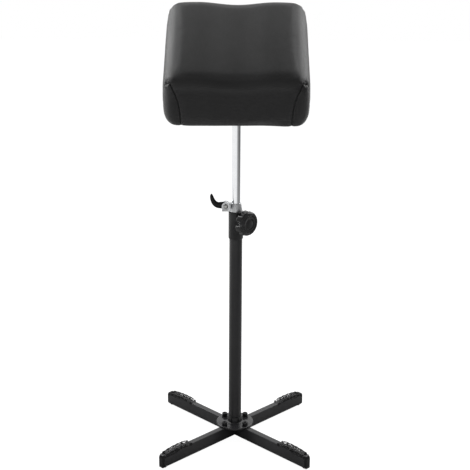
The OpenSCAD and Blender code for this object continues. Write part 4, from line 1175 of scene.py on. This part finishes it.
def finishPad():
    pieces, core = makePad()
    for piece, node in zip(pieces, skinNodes):
        modify(piece, "SOLIDIFY", thickness=pad["skin"], offset=-1, use_even_offset=False)
        smooth(piece)
        dress(piece, finishes["leather_black"])
        settle(piece, padPlace)
        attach(piece, "pad_head")
        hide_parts(node)
    # the foam keeps clear of the skin's inner face
    inside = coords(core) - normals(core) * foamRoom["under"]
    inside[:, 2] = np.maximum(inside[:, 2], foamRoom["bottom"])
    setCoords(core, inside)
    smooth(core)
    dress(core, finishes["foam_cream"])
    settle(core, padPlace)
    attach(core, "pad_head")
    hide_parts("pad_foam")


finishPad()
print("pad made")


# Dust cloth under the pad, stretched over the board and lapped onto the leather

dustCloth = {"size": (240.6 * mm, 221.6 * mm), "opening": (216 * mm, 197 * mm), "thick": 0.7 * mm,
             "step": 3.5 * mm, "lapZ": -0.75 * mm, "rise": 1.15 * mm, "pull": 0.06 * mm,
             "wave": (28 * mm, 26 * mm), "fade": 9 * mm}


def pulled(along, fromEdge, wave):
    # waves of the cloth's pull, strongest at its edge
    return math.sin(along * 2 * math.pi / wave) * math.exp(-fromEdge / dustCloth["fade"])


def makeDustCloth():
    width, depth = dustCloth["size"]
    bpy.ops.mesh.primitive_grid_add(x_subdivisions=130, y_subdivisions=122, size=1)
    obj = added("dustCloth")
    obj.scale = (width, depth, 1)
    settle(obj)
    points = coords(obj)
    openW, openD = dustCloth["opening"]
    waveX, waveY = dustCloth["wave"]
    for index, (x, y, z) in enumerate(points):
        inside = min(openW / 2 - abs(x), openD / 2 - abs(y))
        share = min(max(inside / dustCloth["step"], 0), 1)
        share = share * share * (3 - 2 * share)
        pull = pulled(x, depth / 2 - abs(y), waveX) + pulled(y, width / 2 - abs(x), waveY)
        points[index, 2] = dustCloth["lapZ"] + share * dustCloth["rise"] - dustCloth["pull"] * (1 + pull)
    setCoords(obj, points)
    modify(obj, "SOLIDIFY", thickness=dustCloth["thick"] * 0.5, offset=0)
    smooth(obj)
    dress(obj, finishes["cloth_grey"])
    settle(obj, padPlace)
    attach(obj, "pad_head")
    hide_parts("dust_cloth")


makeDustCloth()
print("dust cloth made")


# Rims of the metal and moulded parts are eased, by millimetres, and every CAD node gets its finish

easing = {"merge": 0.01 * mm, "flatDegrees": 0.5, "sharpDegrees": 32, "smoothDegrees": 30, "segments": 2}
rims = {"hub_flange": 0.5, "hub_screws": 0.35, "pole_sleeve": 0.5, "clamp_collar": 0.7,
        "clamp_lever": 0.9, "clamp_screw": 0.5, "clamp_nut": 0.4, "clamp_washer": 0.2,
        "lock_knob_cap": 0.5, "rod_head": 0.6, "tilt_bracket": 0.5, "tilt_bolt": 0.5,
        "bracket_screws": 0.3, "tilt_washer": 0.2, "foot_pad": 0.4}


def eased(node, width):
    # a copy of a CAD node with its sharp rims eased, which stands for the node
    obj = twin(bpy.data.objects[node], camel(node) + "Eased")
    edit(obj, "VERT")
    bpy.ops.mesh.select_all(action="SELECT")
    bpy.ops.mesh.remove_doubles(threshold=easing["merge"])
    bpy.ops.mesh.dissolve_limited(angle_limit=math.radians(easing["flatDegrees"]))
    finishEdit()
    modify(obj, "BEVEL", width=width, segments=easing["segments"], limit_method="ANGLE",
           angle_limit=math.radians(easing["sharpDegrees"]), use_clamp_overlap=True,
           miter_outer="MITER_ARC")
    soften(obj, easing["smoothDegrees"])
    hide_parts(node)
    return obj


def finishNodes():
    slots = {part["node"]: part["material_slot"] for part in frame["record"]["subparts"]}
    bodies = frame["record"]["behaviour"]["bodies"]
    owner = {node: body for body, nodes in bodies.items() for node in nodes}
    for node, slotName in slots.items():
        dress(bpy.data.objects[node], finishes[slotName])
    for node, width in rims.items():
        for name in [n for n in slots if n == node or n.startswith(node + "_")]:
            piece = eased(name, width * mm)
            dress(piece, finishes[slots[name]])
            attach(piece, owner[name])


finishNodes()
print("nodes finished")
